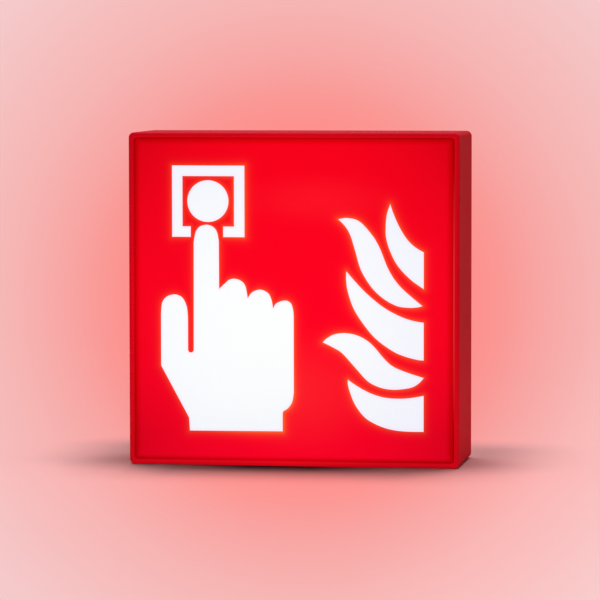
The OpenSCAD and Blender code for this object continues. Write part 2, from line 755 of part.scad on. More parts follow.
module test_switch() color("black") stand() difference() {
    block(switch_size, switch_x + switch_size.x / 2, button_y, board_back_z);
    translate([switch_x - over, button_y, switch_z]) rotate([0, 90, 0])
        cylinder(over + switch_well_d, r = stem_r + 0.3);
}

// Its face has a shallow dish for a fingertip
module test_button() color("black") stand() translate([0, button_y, switch_z]) rotate([0, 90, 0]) {
    difference() {
        rod(button_face_x, collar_x, button_r);
        translate([0, 0, button_face_x - over])
            cylinder(button_dish_d + over, r1 = button_dish_r + over, r2 = button_dish_r - button_dish_d);
    }
    translate([0, 0, collar_x]) cylinder(collar_t, r = collar_r);
    translate([0, 0, collar_x]) cylinder(stem_end_x - collar_x, r = stem_r);
}

// A helix from the button's collar to the switch, round the button's stem
module test_button_spring() color("silver") stand() {
    from = collar_x + collar_t + spring_wire_r;
    to = switch_x - spring_wire_r;
    steps = spring_turns * spring_steps;
    turn = 360 / spring_steps;
    translate([0, button_y, switch_z]) sweep([for (i = [0 : steps])
        [from + (to - from) * i / steps, spring_r * cos(i * turn), spring_r * sin(i * turn)]],
        spring_wire_r, wire_sides);
}

module mode_switch() color("black") stand() difference() {
    block(mode_size, mode_pos.x, mode_pos.y, board_back_z);
    block([mode_nub_w + 2 * (mode_travel + mode_gap), mode_nub_w + 2 * mode_gap, mode_slot_d + over],
        mode_pos.x, mode_pos.y, board_back_z - mode_size.z + mode_slot_d);
}
module mode_switch_slider() color("white") stand()
    block([mode_nub_w, mode_nub_w, mode_slot_d + mode_nub_out - mode_gap],
        mode_pos.x - mode_travel, mode_pos.y, board_back_z - mode_size.z + mode_slot_d - mode_gap);

// ---------------------------------------------------------------- battery

module at_holder() translate([cell_x, holder_y + holder_h / 2, 0]) children();
module each_cell() for (i = [0 : cell_count - 1])
    at_holder() translate([(i - (cell_count - 1) / 2) * cell_pitch, 0, 0])
        rotate(i % 2 == 0 ? 0 : 180) children();
module holder_screw_places() for (s = [-1, 1]) at_holder()
    translate([cell_count % 2 == 0 ? 0 : cell_pitch / 2, s * cell_l / 4, 0]) children();

module battery_holder() color("black") stand() difference() {
    at_holder() translate([-holder_w / 2, -holder_h / 2, tray_back_z - holder_wall_h])
        cube([holder_w, holder_h, holder_wall_h]);
    at_holder() translate([holder_t - holder_w / 2, holder_t - holder_h / 2,
        tray_back_z - holder_wall_h - over])
            cube([holder_w - 2 * holder_t, holder_h - 2 * holder_t, holder_wall_h - holder_t + over]);
    holder_screw_places() translate([0, 0, tray_back_z - holder_wall_h])
        cylinder(holder_wall_h + over, r = screw_r + screw_gap);
    for (y = battery_wire_y) translate([cell_x - holder_w / 2 - over, y, battery_wire_z])
        rotate([0, 90, 0]) cylinder(over + battery_wire_in, r = wire_r + wire_gap);
}

module battery_holder_screws() color("silver") stand() holder_screw_places()
    translate([0, 0, tray_back_z - holder_t]) screw(holder_t + tray_t);

// Cells lie side by side, each the other way round from its neighbour
module battery_cells() color("forestgreen") stand() each_cell()
    translate([0, -cell_l / 2, cell_z]) rotate([-90, 0, 0]) rotate_extrude() union() {
        square([cell_r, cell_l - cell_nub_h]);
        square([cell_nub_r, cell_l]);
    }

// A plate against the holder's wall and a boss that reaches the end of the cell
module battery_contacts() color("silver") stand() each_cell() for (end = [0, 1]) rotate(180 * end)
    translate([0, cell_l / 2, cell_z]) rotate([-90, 0, 0]) {
        cylinder(contact_l, r = contact_r);
        translate([-contact_w / 2, -contact_w / 2, contact_l]) cube([contact_w, contact_w, contact_t]);
    }

module strap_screw_places() for (s = [-1, 1]) at_holder()
    translate([s * (strap_side + strap_t + strap_foot / 2 + 0.4), 0, 0]) children();

// A metal band over the cells, bent down to a foot on the gear tray at each side
module battery_strap() color("silver") stand() difference() {
    at_holder() for (s = [-1, 1]) scale_x(s) {
        translate([0, -strap_w / 2, strap_top - strap_t]) cube([strap_side + strap_t, strap_w, strap_t]);
        translate([strap_side, -strap_w / 2, strap_top - strap_t])
            cube([strap_t, strap_w, tray_back_z - strap_top + strap_t]);
        translate([strap_side, -strap_w / 2, tray_back_z - strap_t])
            cube([strap_t + strap_foot, strap_w, strap_t]);
    }
    strap_screw_places() through_tray(screw_r + screw_gap, strap_t);
}
module battery_strap_screws() color("silver") stand() strap_screw_places()
    translate([0, 0, tray_back_z - strap_t]) screw(strap_t + tray_t);

// ---------------------------------------------------------------- mains terminal block

module terminal_poles() for (i = [-1 : 1])
    translate([terminal_pos.x + i * terminal_pitch, terminal_pos.y, 0]) children();
module terminal_ears() for (s = [-1, 1])
    translate([terminal_pos.x + s * (terminal.x + terminal_ear.x) / 2, terminal_pos.y, 0]) children();

module terminal_block() color("ivory") stand() difference() {
    union() {
        block(terminal, terminal_pos.x, terminal_pos.y, tray_back_z);
        block([terminal.x + 2 * terminal_ear.x, terminal_ear.y, terminal_ear.z],
            terminal_pos.x, terminal_pos.y, tray_back_z);
    }
    terminal_ears() translate([0, 0, tray_back_z - terminal_ear.z - over])
        cylinder(terminal_ear.z + 2 * over, r = screw_r + screw_gap);
    terminal_poles() {
        translate([0, -terminal.y / 2 - over, terminal_hole_z]) rotate([-90, 0, 0])
            cylinder(terminal.y + 2 * over, r = terminal_hole_r);
        translate([0, 0, terminal_back_z - over]) cylinder(terminal_well_d + over, r = terminal_well_r);
        translate([0, 0, terminal_back_z])
            cylinder(terminal_hole_z - terminal_back_z, r = terminal_hole_r);
    }
}
module terminal_screws() color("gold") stand() terminal_poles()
    translate([0, 0, terminal_back_z + terminal_well_d]) difference() {
        union() {
            translate([0, 0, -terminal_screw_h]) cylinder(terminal_screw_h, r = terminal_screw_r);
            cylinder(terminal_screw_h / 2, r = terminal_hole_r - screw_gap);
        }
        translate([-terminal_screw_r, -slot_w / 2, -terminal_screw_h - over])
            cube([2 * terminal_screw_r, slot_w, over + terminal_screw_h / 3]);
    }
module terminal_block_screws() color("silver") stand() terminal_ears()
    translate([0, 0, tray_back_z - terminal_ear.z]) screw(terminal_ear.z + tray_t);

// ---------------------------------------------------------------- wires

// A tube of round section along the points p
module sweep(p, r, sides) {
    n = transport(p, 0, cross(tangent(p, 0), any_direction));
    last = len(p) - 1;
    points = [
        for (i = [0 : last], k = [0 : sides - 1]) let (a = 360 * k / sides)
            p[i] + r * (cos(a) * n[i] + sin(a) * cross(tangent(p, i), n[i]))
    ];
    walls = [
        for (i = [0 : last - 1], k = [0 : sides - 1])
            let (here = i * sides, there = (i + 1) * sides, next = (k + 1) % sides)
                [here + k, there + k, there + next, here + next]
    ];
    near_end = [for (k = [0 : sides - 1]) k];
    far_end = [for (k = [sides - 1 : -1 : 0]) last * sides + k];
    polyhedron(points, concat([near_end], walls, [far_end]), convexity = 8);
}
function unit(v) = v / norm(v);
function tangent(p, i) = unit(p[min(i + 1, len(p) - 1)] - p[max(i - 1, 0)]);
// A normal at each point, turned as little as possible from one to the next
function transport(p, i, normal) = i == len(p) ? [] :
    let (n = unit(normal - (normal * tangent(p, i)) * tangent(p, i))) concat([n], transport(p, i + 1, n));

module wire(p) sweep(concat(curve(p, wire_steps), [p[len(p) - 1]]), wire_r, wire_sides);

// A wire's straight end: inside its hole, at the hole's mouth, and a little way out of it
function wire_end(mouth, out, depth = plug_depth, run = 4) =
    [mouth - depth * out, mouth, mouth + run * out];
// The same for the wire's other end, from the outside inwards
function wire_start(mouth, out, depth = plug_depth, run = 4) =
    [mouth + run * out, mouth, mouth - depth * out];

// Both LED wires: from the driver's plug through the grommet to the LED board's plug
module led_wires() color("crimson") stand() for (s = [-1, 1]) wire(concat(
    wire_end([led_plug_x + plug_lead * s, driver_y, plug_wire_z], [0, -1, 0]),
    [
        [wire_x + 1.6 * s - 2, (driver_y + wire_hole_y) / 2, plug_wire_z + 1],
        [wire_x + 1.1 * s, wire_hole_y + 2, tray_back_z - 5], [wire_x + 1.1 * s, wire_hole_y, tray_back_z],
        [wire_x + 1.3 * s, wire_hole_y + 0.3, reflector_z + 0.5]
    ],
    wire_start([wire_x + plug_lead * s, led_plug_y - led_plug.y / 2, led_wire_z], [0, -1, 0],
        plug_depth, 1.5)
));

module battery_wires() color("crimson") stand() for (y = battery_wire_y) wire(concat(
    wire_end([cell_x - holder_w / 2, y, battery_wire_z], [-1, 0, 0], battery_wire_in),
    wire_start([driver_x + driver_w, y, plug_wire_z], [1, 0, 0])
));

module mains_wires() color("saddlebrown") stand() for (i = [0, 1]) wire(concat(
    wire_end([terminal_pos.x + (i - 1) * terminal_pitch, terminal_top_y, terminal_hole_z], [0, 1, 0]),
    wire_start([mains_plug_x + (2 * i - 1) * plug_lead, driver_y, plug_wire_z], [0, -1, 0])
));

module earth_wire() color("limegreen") stand() wire(concat(
    wire_end([terminal_pos.x + terminal_pitch, terminal_top_y, terminal_hole_z], [0, 1, 0]),
    [[terminal_pos.x + terminal_pitch + 6, terminal_top_y + 9, terminal_hole_z + 0.5],
        [earth_pos.x - 3, terminal_top_y + 9, tray_back_z - 3]],
    wire_start([earth_pos.x, earth_pos.y + tag_l, tray_back_z - tag_barrel_r], [0, 1, 0], tag_wire_in)
));

// ---------------------------------------------------------------- wall plate

module wall_plate() color("silver") stand() difference() {
    union() {
        slab(inner_w - 2 * plate_gap, inner_h - 2 * plate_gap, inner_r, plate_back_z, plate_z);
        for (x = [-rib_x, rib_x]) {
            translate([x - lug.x / 2, wall + lug_gap, plate_back_z]) cube([lug.x, lug.y, plate_t + lug.z]);
            hook(x);
        }
    }
    for (x = [-rib_x, rib_x]) translate([x, wall, plate_z + lug.z / 2]) rotate([-90, 0, 0])
        cylinder(lug.y + over, r = case_screw_r + screw_gap);
    at_corners(wall_hole_dx / 2, wall_hole_dy / 2, cy = mid_y) translate([0, 0, plate_back_z - over])
        cylinder(plate_t + 2 * over, r = wall_hole_r);
    translate([entry_pos.x, entry_pos.y, plate_back_z - over]) cylinder(plate_t + 2 * over, r = entry_r);
}

// An arm under the housing's rib, with a lip that stands up in front of it
module hook(x) {
    lip_z = rib_back_z + rib_t + hook_gap;
    arm_y = sign_h - wall - rib_h - hook_gap - hook_arm;
    translate([x - lug.x / 2, arm_y, plate_back_z]) cube([lug.x, hook_arm, lip_z + hook_t - plate_back_z]);
    translate([x - lug.x / 2, arm_y, lip_z]) cube([lug.x, sign_h - wall - plate_gap - arm_y, hook_t]);
}

// Foam frame on the back of the wall plate, pressed against the wall
module wall_plate_seal() color("dimgray") stand() difference() {
    slab(inner_w - 2 * seal_inset, inner_h - 2 * seal_inset, seal_r, seal_z, plate_back_z);
    slab(inner_w - 2 * (seal_inset + seal_w), inner_h - 2 * (seal_inset + seal_w), seal_r,
        seal_z - over, plate_back_z + over);
}

// Rubber ring in the wall plate, with a flange on each side of it
module cable_grommet() color("black") stand() translate([entry_pos.x, entry_pos.y, seal_z])
    difference() {
        length = seal_t + plate_t + entry_flange_t;
        union() {
            cylinder(length, r = entry_r);
            cylinder(seal_t, r = entry_r + entry_flange_w);
            translate([0, 0, length - entry_flange_t])
                cylinder(entry_flange_t, r = entry_r + entry_flange_w);
        }
        translate([0, 0, -over]) cylinder(length + 2 * over, r = entry_bore_r);
    }

module case_screws() color("silver") stand() for (x = [-rib_x, rib_x])
    translate([x, 0, plate_z + lug.z / 2]) rotate([-90, 0, 0]) difference() {
        union() {
            cylinder(case_head_h, r1 = case_head_r, r2 = case_screw_r);
            cylinder(case_screw_l, r = case_screw_r);
        }
        for (a = [0, 90]) rotate(a) translate([-case_screw_r, -slot_w / 2, -over])
            cube([2 * case_screw_r, slot_w, over + case_head_h * 0.6]);
    }

housing();
face_panel();
hand_figure();
call_point_figure();
button_figure();
flame_tip_figure();
flame_upper_figure();
flame_middle_figure();
flame_lower_figure();
flame_base_figure();
diffuser_sheet();
bonding_tape();
reflector();
led_board();
led_packages();
led_lenses();
led_connector();
led_board_screws();
gear_tray();
gear_tray_screws();
tray_grommet();
driver_board();
driver_standoffs();
driver_screws();
transformer_core();
transformer_winding();
capacitors();
filter_choke();
driver_connectors();
status_led();
status_light_pipe();
test_switch();
test_button();
test_button_spring();
mode_switch();
mode_switch_slider();
battery_holder();
battery_holder_screws();
battery_cells();
battery_contacts();
battery_strap();
battery_strap_screws();
terminal_block();
terminal_screws();
terminal_block_screws();
earth_screw();
earth_tag();
led_wires();
battery_wires();
mains_wires();
earth_wire();
wall_plate();
wall_plate_seal();
cable_grommet();
case_screws();
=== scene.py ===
"""Looks of a lit fire alarm call point sign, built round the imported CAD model. Lengths are in metres."""

import json
import math

import bpy
import numpy as np
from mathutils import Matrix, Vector
from mathutils.geometry import delaunay_2d_cdt


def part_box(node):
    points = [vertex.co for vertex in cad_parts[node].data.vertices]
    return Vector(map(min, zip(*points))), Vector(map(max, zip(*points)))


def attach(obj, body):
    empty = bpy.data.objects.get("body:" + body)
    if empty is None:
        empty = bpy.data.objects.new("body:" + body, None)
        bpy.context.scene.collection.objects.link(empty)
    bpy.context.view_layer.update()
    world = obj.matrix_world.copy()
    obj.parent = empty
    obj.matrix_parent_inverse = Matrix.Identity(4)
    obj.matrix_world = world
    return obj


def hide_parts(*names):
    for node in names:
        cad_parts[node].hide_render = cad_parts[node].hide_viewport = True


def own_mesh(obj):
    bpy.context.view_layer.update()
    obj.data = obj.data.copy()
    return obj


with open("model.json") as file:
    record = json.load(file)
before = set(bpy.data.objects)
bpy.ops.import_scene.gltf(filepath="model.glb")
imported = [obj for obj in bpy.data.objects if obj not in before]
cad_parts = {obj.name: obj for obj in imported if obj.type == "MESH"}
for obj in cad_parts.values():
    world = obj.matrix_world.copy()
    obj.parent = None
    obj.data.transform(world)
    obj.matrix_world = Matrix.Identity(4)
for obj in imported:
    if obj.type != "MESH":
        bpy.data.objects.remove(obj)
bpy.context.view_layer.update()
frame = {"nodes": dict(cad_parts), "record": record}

NODES = frame["nodes"]
SLOT_OF = {row["node"]: row["material_slot"] for row in frame["record"]["subparts"]}
HOUSING_LOW, HOUSING_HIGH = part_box("housing")
PANEL_LOW, PANEL_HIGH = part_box("face_panel")

MM = 0.001
FRONT = HOUSING_LOW.y           # the sign is centred on X = 0 and Y = 0, and stands on Z = 0
TOP = HOUSING_HIGH.z
HALF_WIDTH = HOUSING_HIGH.x
HALF_DEPTH = HOUSING_HIGH.y
MIDDLE = TOP / 2                # the height of the sign's middle
PANEL_HALF = PANEL_HIGH.x       # half the panel's width, and half its height
BLACK = (0.0, 0.0, 0.0, 1.0)
scene = bpy.context.scene


# ------------------------------------------------------------------ node graphs

def srgb(red, green, blue):
    """A colour in linear light from its 8-bit sRGB values."""
    linear = [(v / 255 / 12.92) if v <= 10 else ((v / 255 + 0.055) / 1.055) ** 2.4
              for v in (red, green, blue)]
    return (*linear, 1.0)


def add(tree, kind, inputs=None, **settings):
    """A node of that kind with its settings, and its inputs linked or set."""
    made = tree.nodes.new(kind)
    for key, value in settings.items():
        setattr(made, key, value)
    for key, value in (inputs or {}).items():
        socket = made.inputs[key]
        if isinstance(value, bpy.types.NodeSocket):
            tree.links.new(value, socket)
        else:
            socket.default_value = value
    return made


def calc(tree, operation, a, b=0.0, clamp=False):
    """What a Math node makes of one or two sockets or numbers."""
    return add(tree, "ShaderNodeMath", {0: a, 1: b}, operation=operation, use_clamp=clamp).outputs[0]


def fold(tree, operation, values):
    """One value out of several, taken in turn."""
    result = values[0]
    for value in values[1:]:
        result = calc(tree, operation, result, value)
    return result


def plus(tree, *values):
    return fold(tree, "ADD", values)


def minus(tree, *values):
    return fold(tree, "SUBTRACT", values)


def times(tree, *values):
    return fold(tree, "MULTIPLY", values)


def largest(tree, *values):
    return fold(tree, "MAXIMUM", values)


def power(tree, base, exponent, clamp=False):
    return calc(tree, "POWER", base, exponent, clamp)


def distance(tree, a, b):
    """How far off a place is that lies a off along one axis and b off along another."""
    return calc(tree, "SQRT", plus(tree, times(tree, a, a), times(tree, b, b)))


def remap(tree, value, low, high, to_low=0.0, to_high=1.0, smooth=False):
    """Carries low to to_low and high to to_high, and holds the value beyond them."""
    kind = "SMOOTHSTEP" if smooth else "LINEAR"
    made = add(tree, "ShaderNodeMapRange", {"Value": value}, interpolation_type=kind, clamp=True)
    for key, number in (("From Min", low), ("From Max", high), ("To Min", to_low), ("To Max", to_high)):
        made.inputs[key].default_value = number
    return made.outputs["Result"]


def blend_colors(tree, factor, a, b, mode="MIX"):
    """Colour a where the factor is 0, and b laid over it in that mode where it is 1."""
    made = add(tree, "ShaderNodeMix", data_type="RGBA", blend_type=mode, clamp_factor=True)
    for index, value in ((0, factor), (6, a), (7, b)):
        if isinstance(value, bpy.types.NodeSocket):
            tree.links.new(value, made.inputs[index])
        else:
            made.inputs[index].default_value = value
    return made.outputs[2]


def join_color(tree, red, green, blue):
    return add(tree, "ShaderNodeCombineColor", {"Red": red, "Green": green, "Blue": blue}).outputs["Color"]


def ramp(tree, factor, stops):
    """A colour that changes evenly from stop to stop, each a position and a colour."""
    made = add(tree, "ShaderNodeValToRGB", {"Fac": factor})
    elements = made.color_ramp.elements
    while len(elements) < len(stops):
        elements.new(0.5)
    for element, (position, color) in zip(elements, stops):
        element.position = position
        element.color = color
    return made.outputs["Color"]


def place(tree, scale=(1, 1, 1)):
    """Object coordinates. A scale below 1 draws a pattern out along that axis, and one above 1
    squeezes it."""
    coordinates = add(tree, "ShaderNodeTexCoord").outputs["Object"]
    return add(tree, "ShaderNodeMapping", {"Vector": coordinates, "Scale": scale}).outputs["Vector"]


def split_axes(tree, vector):
    """The sockets X, Y and Z of a vector."""
    return add(tree, "ShaderNodeSeparateXYZ", {"Vector": vector}).outputs


def noise(tree, size, detail=3.0, scale=(1, 1, 1)):
    """A noise whose spots are about size metres across."""
    return add(tree, "ShaderNodeTexNoise", {
        "Vector": place(tree, scale), "Scale": 1 / size, "Detail": detail, "Roughness": 0.55,
    }).outputs["Fac"]


def cells(tree, size, vector=None, feature="F1"):
    """Voronoi cells of about size metres, laid out along the vector if there is one."""
    if vector is None:
        vector = place(tree)
    return add(tree, "ShaderNodeTexVoronoi", {"Vector": vector, "Scale": 1 / size}, feature=feature).outputs


def bump(tree, height, strength, depth):
    """A normal bent by a height of 0 to 1, which stands for that depth."""
    return add(tree, "ShaderNodeBump", {
        "Height": height, "Strength": strength, "Distance": depth}).outputs["Normal"]


def new_material(name):
    """A material with a Principled shader and nothing else."""
    material = bpy.data.materials.new(name)
    material.use_nodes = True
    tree = material.node_tree
    tree.nodes.clear()
    shader = add(tree, "ShaderNodeBsdfPrincipled")
    add(tree, "ShaderNodeOutputMaterial", {"Surface": shader.outputs[0]})
    return material, tree, shader


def link(tree, shader, **sockets):
    """Sets or links the shader's sockets; _ stands for a space in a socket's name."""
    for key, value in sockets.items():
        socket = shader.inputs[key.replace("_", " ")]
        if isinstance(value, bpy.types.NodeSocket):
            tree.links.new(value, socket)
        else:
            socket.default_value = value


def darker(color, factor):
    """The colour times factor, which makes it lighter where it is above 1."""
    return (color[0] * factor, color[1] * factor, color[2] * factor, 1.0)


# ------------------------------------------------------------------ materials

def plastic(name, color, roughness, grain, depth=0.02 * MM, variation=0.06):
    """Moulded plastic: a fine grain, and slow patches of shade and gloss."""
    material, tree, shader = new_material(name)
    patches = noise(tree, 22 * MM, 2.0)
    fine = noise(tree, grain, 4.0)
    shade = blend_colors(tree, remap(tree, patches, 0.35, 0.65), darker(color, 1 - variation),
                         darker(color, 1 + variation))
    link(tree, shader, Base_Color=shade,
         Roughness=remap(tree, fine, 0.3, 0.7, roughness - 0.05, roughness + 0.07),
         Normal=bump(tree, fine, 0.35, depth))
    return material


def metal(name, color, roughness, scale, grain):
    """Plated, drawn or turned metal, with fine lines across the axis whose scale is above 1."""
    material, tree, shader = new_material(name)
    lines = noise(tree, grain, 4.0, scale)
    shade = blend_colors(tree, lines, darker(color, 0.86), darker(color, 1.06))
    link(tree, shader, Base_Color=shade, Metallic=1.0,
         Roughness=remap(tree, lines, 0.3, 0.7, roughness - 0.06, roughness + 0.1),
         Normal=bump(tree, lines, 0.25, 0.01 * MM))
    return material


def zinc_coat(name, color, crystal=10 * MM):
    """Hot dip galvanised sheet: feathered zinc crystals that differ in shade and in gloss."""
    material, tree, shader = new_material(name)
    ragged = add(tree, "ShaderNodeTexNoise", {
        "Vector": place(tree), "Scale": 1 / (2 * MM), "Detail": 3.0}).outputs["Color"]
    bent = add(tree, "ShaderNodeVectorMath", {0: ragged, 1: (1.6 * MM,) * 3, 2: place(tree)},
               operation="MULTIPLY_ADD").outputs[0]
    crystals = add(tree, "ShaderNodeSeparateColor", {"Color": cells(tree, crystal, bent)["Color"]})
    feathers = noise(tree, 1.2 * MM, 3.0, (1, 1, 0.25))
    shade = ramp(tree, crystals.outputs[0], ((0.0, darker(color, 0.80)), (1.0, darker(color, 1.12))))
    shade = blend_colors(tree, remap(tree, feathers, 0.35, 0.65, 0.0, 0.3), shade, darker(color, 1.08))
    link(tree, shader, Base_Color=shade, Metallic=1.0,
         Roughness=remap(tree, crystals.outputs[1], 0.0, 1.0, 0.34, 0.48),
         Normal=bump(tree, feathers, 0.25, 0.03 * MM))
    return material


def rubber(name, color, roughness, pores):
    """Rubber or foam with fine pores."""
    material, tree, shader = new_material(name)
    pits = cells(tree, pores)["Distance"]
    # painted shade: darker in the pits
    shade = ramp(tree, pits, ((0.0, darker(color, 0.7)), (0.8, darker(color, 1.25))))
    link(tree, shader, Base_Color=shade, Roughness=roughness, Specular_IOR_Level=0.3,
         Normal=bump(tree, pits, 0.4, 0.05 * MM))
    return material


def circuit_board(name, color):
    """Solder mask over tracks, with dots of bare solder."""
    material, tree, shader = new_material(name)
    tracks = remap(tree, cells(tree, 5 * MM, feature="DISTANCE_TO_EDGE")["Distance"], 0.07, 0.1)
    covered = remap(tree, cells(tree, 3.2 * MM)["Distance"], 0.1, 0.12)
    mask = blend_colors(tree, tracks, darker(color, 1.5), color)
    shade = blend_colors(tree, covered, (0.62, 0.62, 0.6, 1.0), mask)
    link(tree, shader, Base_Color=shade, Roughness=0.34,
         Metallic=remap(tree, covered, 0.0, 1.0, 0.8, 0.0),
         Normal=bump(tree, tracks, 0.3, 0.03 * MM))
    return material


def winding(name, color, pitch=0.8 * MM):
    """Enamelled wire laid turn beside turn."""
    material, tree, shader = new_material(name)
    turns = add(tree, "ShaderNodeTexWave", {
        "Vector": place(tree), "Scale": math.tau / 10 / pitch, "Distortion": 0.6, "Detail": 1.0},
        wave_type="BANDS", bands_direction="DIAGONAL").outputs["Fac"]
    # painted shade: darker in the grooves between the turns
    shade = blend_colors(tree, turns, darker(color, 0.55), darker(color, 1.15))
    link(tree, shader, Base_Color=shade, Roughness=0.28, Coat_Weight=0.4,
         Normal=bump(tree, turns, 0.7, 0.1 * MM))
    return material


def sleeve(name, color):
    """Heat-shrunk film, glossy, with a slight wrinkle."""
    material, tree, shader = new_material(name)
    wrinkle = noise(tree, 5 * MM, 3.0, (1, 1, 0.3))
    shade = blend_colors(tree, wrinkle, darker(color, 0.85), darker(color, 1.15))
    link(tree, shader, Base_Color=shade, Roughness=0.22, Coat_Weight=0.5,
         Normal=bump(tree, wrinkle, 0.25, 0.15 * MM))
    return material


def clear(name, color, roughness=0.08, emission=None):
    """Clear plastic, which may glow."""
    material, tree, shader = new_material(name)
    ripple = noise(tree, 2 * MM, 2.0)
    link(tree, shader, Base_Color=color, Transmission_Weight=0.85, IOR=1.49,
         Roughness=remap(tree, ripple, 0.3, 0.7, roughness * 0.6, roughness * 1.5),
         Normal=bump(tree, ripple, 0.1, 0.02 * MM))
    if emission:
        link(tree, shader, Emission_Color=emission, Emission_Strength=1.0)
    return material


# ------------------------------------------------------------------ lit materials

PAINTED_LIP_GLOW = (0.66, 0.0003, 0.0072, 1.0)     # painted glow on the housing's lip, standing in for the face's light that falls on it
HALO_LIGHT = (0.95, 0.110, 0.0240, 1.0)     # what the panel shows right beside a figure

# Upright ovals on the face: x and z of the middle, half the width and half the height.
DIM_FOOT = (0.06, 0.0, 0.07, 0.03)
HOT_LOW = (0.006, 0.045, 0.055, 0.045)
HOT_HIGH = (0.015, 0.16, 0.06, 0.02)
HALO_OVALS = (      # each with what it adds to the halo's strength
    (1.2, (-0.015, 0.03, 0.05, 0.04)),
    (0.5, (-0.02, 0.155, 0.035, 0.05)),
    (-0.5, (0.06, 0.005, 0.05, 0.04)),
    (-0.5, (0.09, 0.06, 0.022, 0.08)),
)


def seen_only(tree, color):
    """The colour for what is seen, and none of it for the light that falls on what stands near."""
    ray = add(tree, "ShaderNodeLightPath").outputs["Is Diffuse Ray"]
    return blend_colors(tree, ray, color, BLACK)


def spot(tree, axes, x, z, half_width, half_height):
    """1 in the middle of an upright oval, and 0 from its border outwards."""
    across = calc(tree, "DIVIDE", minus(tree, axes["X"], x), half_width)
    up = calc(tree, "DIVIDE", minus(tree, axes["Z"], z), half_height)
    return remap(tree, distance(tree, across, up), 0.0, 1.0, 1.0, 0.0, True)


def from_middle(tree, axes):
    """How far a place is from the sign's middle, sideways and up or down."""
    return calc(tree, "ABSOLUTE", axes["X"]), calc(tree, "ABSOLUTE", minus(tree, axes["Z"], MIDDLE))


def around(tree, axes, left, right, bottom, top):
    """A value for each side of the sign, with a short change from one to the next at the corners."""
    upright = remap(tree, minus(tree, *from_middle(tree, axes)), -5 * MM, 5 * MM, 0.0, 1.0, True)
    across = remap(tree, axes["X"], -HALF_WIDTH / 2, HALF_WIDTH / 2, left, right, True)
    along = remap(tree, axes["Z"], MIDDLE - HALF_WIDTH / 2, MIDDLE + HALF_WIDTH / 2, bottom, top, True)
    return plus(tree, times(tree, upright, across), times(tree, minus(tree, 1.0, upright), along))


def painted_lip_glow(tree, axes):
    """How much painted glow the housing shows, standing in for the face's light that falls on it: along
    its front lip, less so on the lip's outermost line, and on the wall beside the panel. It gets weaker
    towards the corners."""
    x, z = from_middle(tree, axes)
    out = largest(tree, x, z)
    outermost = remap(tree, out, HALF_WIDTH - 2 * MM, HALF_WIDTH - 0.2 * MM)
    lip = times(tree, remap(tree, axes["Y"], FRONT + 1.6 * MM, FRONT + 0.4 * MM, 0.0, 1.0, True),
                minus(tree, 1.0, times(tree, outermost, around(tree, axes, 0.5, 0.5, 0.12, 0.2))))
    wall = times(tree, remap(tree, out, HALF_WIDTH - 1.8 * MM, HALF_WIDTH - 2.6 * MM),
                 remap(tree, axes["Y"], FRONT + 9.5 * MM, FRONT + 6.5 * MM))
    lit = largest(tree, times(tree, lip, around(tree, axes, 0.66, 0.48, 0.95, 0.55)),
                  times(tree, wall, around(tree, axes, 0.77, 0.66, 0.88, 0.70)))
    corners = times(tree, around(tree, axes, 3.8, 0.0, 4.0, 3.2), calc(tree, "MINIMUM", x, z))
    foot = remap(tree, spot(tree, axes, *DIM_FOOT), 0.0, 1.0, 1.0, 0.84)
    return times(tree, minus(tree, 1.0, corners), lit, foot)


def red_housing():
    """Satin red plastic, painted lighter near the floor and with a painted sheen on its top face. Its front
    lip carries a painted glow that stands in for the face's light falling on it.
    """
    material, tree, shader = new_material("satin_red_housing")
    axes = split_axes(tree, place(tree))
    patches = noise(tree, 25 * MM, 2.0)
    streaks = noise(tree, 1.6 * MM, 3.0, (1, 1, 0.06))
    fine = noise(tree, 0.5 * MM, 4.0)
    base = (0.56, 0.0040, 0.0120, 1.0)
    shade = blend_colors(tree, patches, darker(base, 0.95), darker(base, 1.05))
    shade = blend_colors(tree, remap(tree, streaks, 0.35, 0.65, 0.0, 0.25), shade, darker(base, 0.86))
    # painted light: the walls are painted lighter towards the floor
    low = remap(tree, axes["Z"], 0.0, 0.9 * MIDDLE, 1.0, 0.0)
    shade = blend_colors(tree, low, shade, (0.70, 0.0085, 0.0210, 1.0))
    # painted sheen on the top face
    painted_top_sheen = remap(tree, axes["Z"], TOP - 1.1 * MM, TOP - 0.2 * MM)
    shade = blend_colors(tree, painted_top_sheen, shade, (0.56, 0.0160, 0.0350, 1.0))
    # painted glow along the front lip and on the wall beside the panel
    lip_glow = blend_colors(tree, painted_lip_glow(tree, axes), BLACK, PAINTED_LIP_GLOW)
    link(tree, shader, Base_Color=shade, Specular_IOR_Level=0.01,
         Roughness=remap(tree, fine, 0.3, 0.7, 0.55, 0.68), Emission_Color=seen_only(tree, lip_glow),
         Emission_Strength=1.0, Normal=bump(tree, fine, 0.3, 0.012 * MM))
    return material


def far_loss(tree, axes):
    """The share of the panel's light that is missing far from its middle, most of all in the corners."""
    x = times(tree, from_middle(tree, axes)[0], 1 / HALF_WIDTH)
    z = times(tree, minus(tree, axes["Z"], MIDDLE), 1 / HALF_WIDTH)
    side = power(tree, x, 2.2)
    end = power(tree, largest(tree, z, times(tree, z, -1.25)), 1.9, True)
    return plus(tree, times(tree, side, 0.077), times(tree, end, 0.03), times(tree, side, end, 0.27))


def edge_loss(tree, axes):
    """The share of the panel's light that is missing in a band of about 5 mm along its edge."""
    from_edge = minus(tree, PANEL_HALF, largest(tree, *from_middle(tree, axes)))
    rise = calc(tree, "DIVIDE", plus(tree, from_edge, 0.6 * MM),
                around(tree, axes, 5.1 * MM, 6.1 * MM, 3.6 * MM, 5.4 * MM))
    most = plus(tree, around(tree, axes, 0.46, 0.46, 0.41, 0.39),
                times(tree, spot(tree, axes, *DIM_FOOT), 0.11))
    return times(tree, remap(tree, rise, 0.0, 1.0, 1.0, 0.0, True), most)


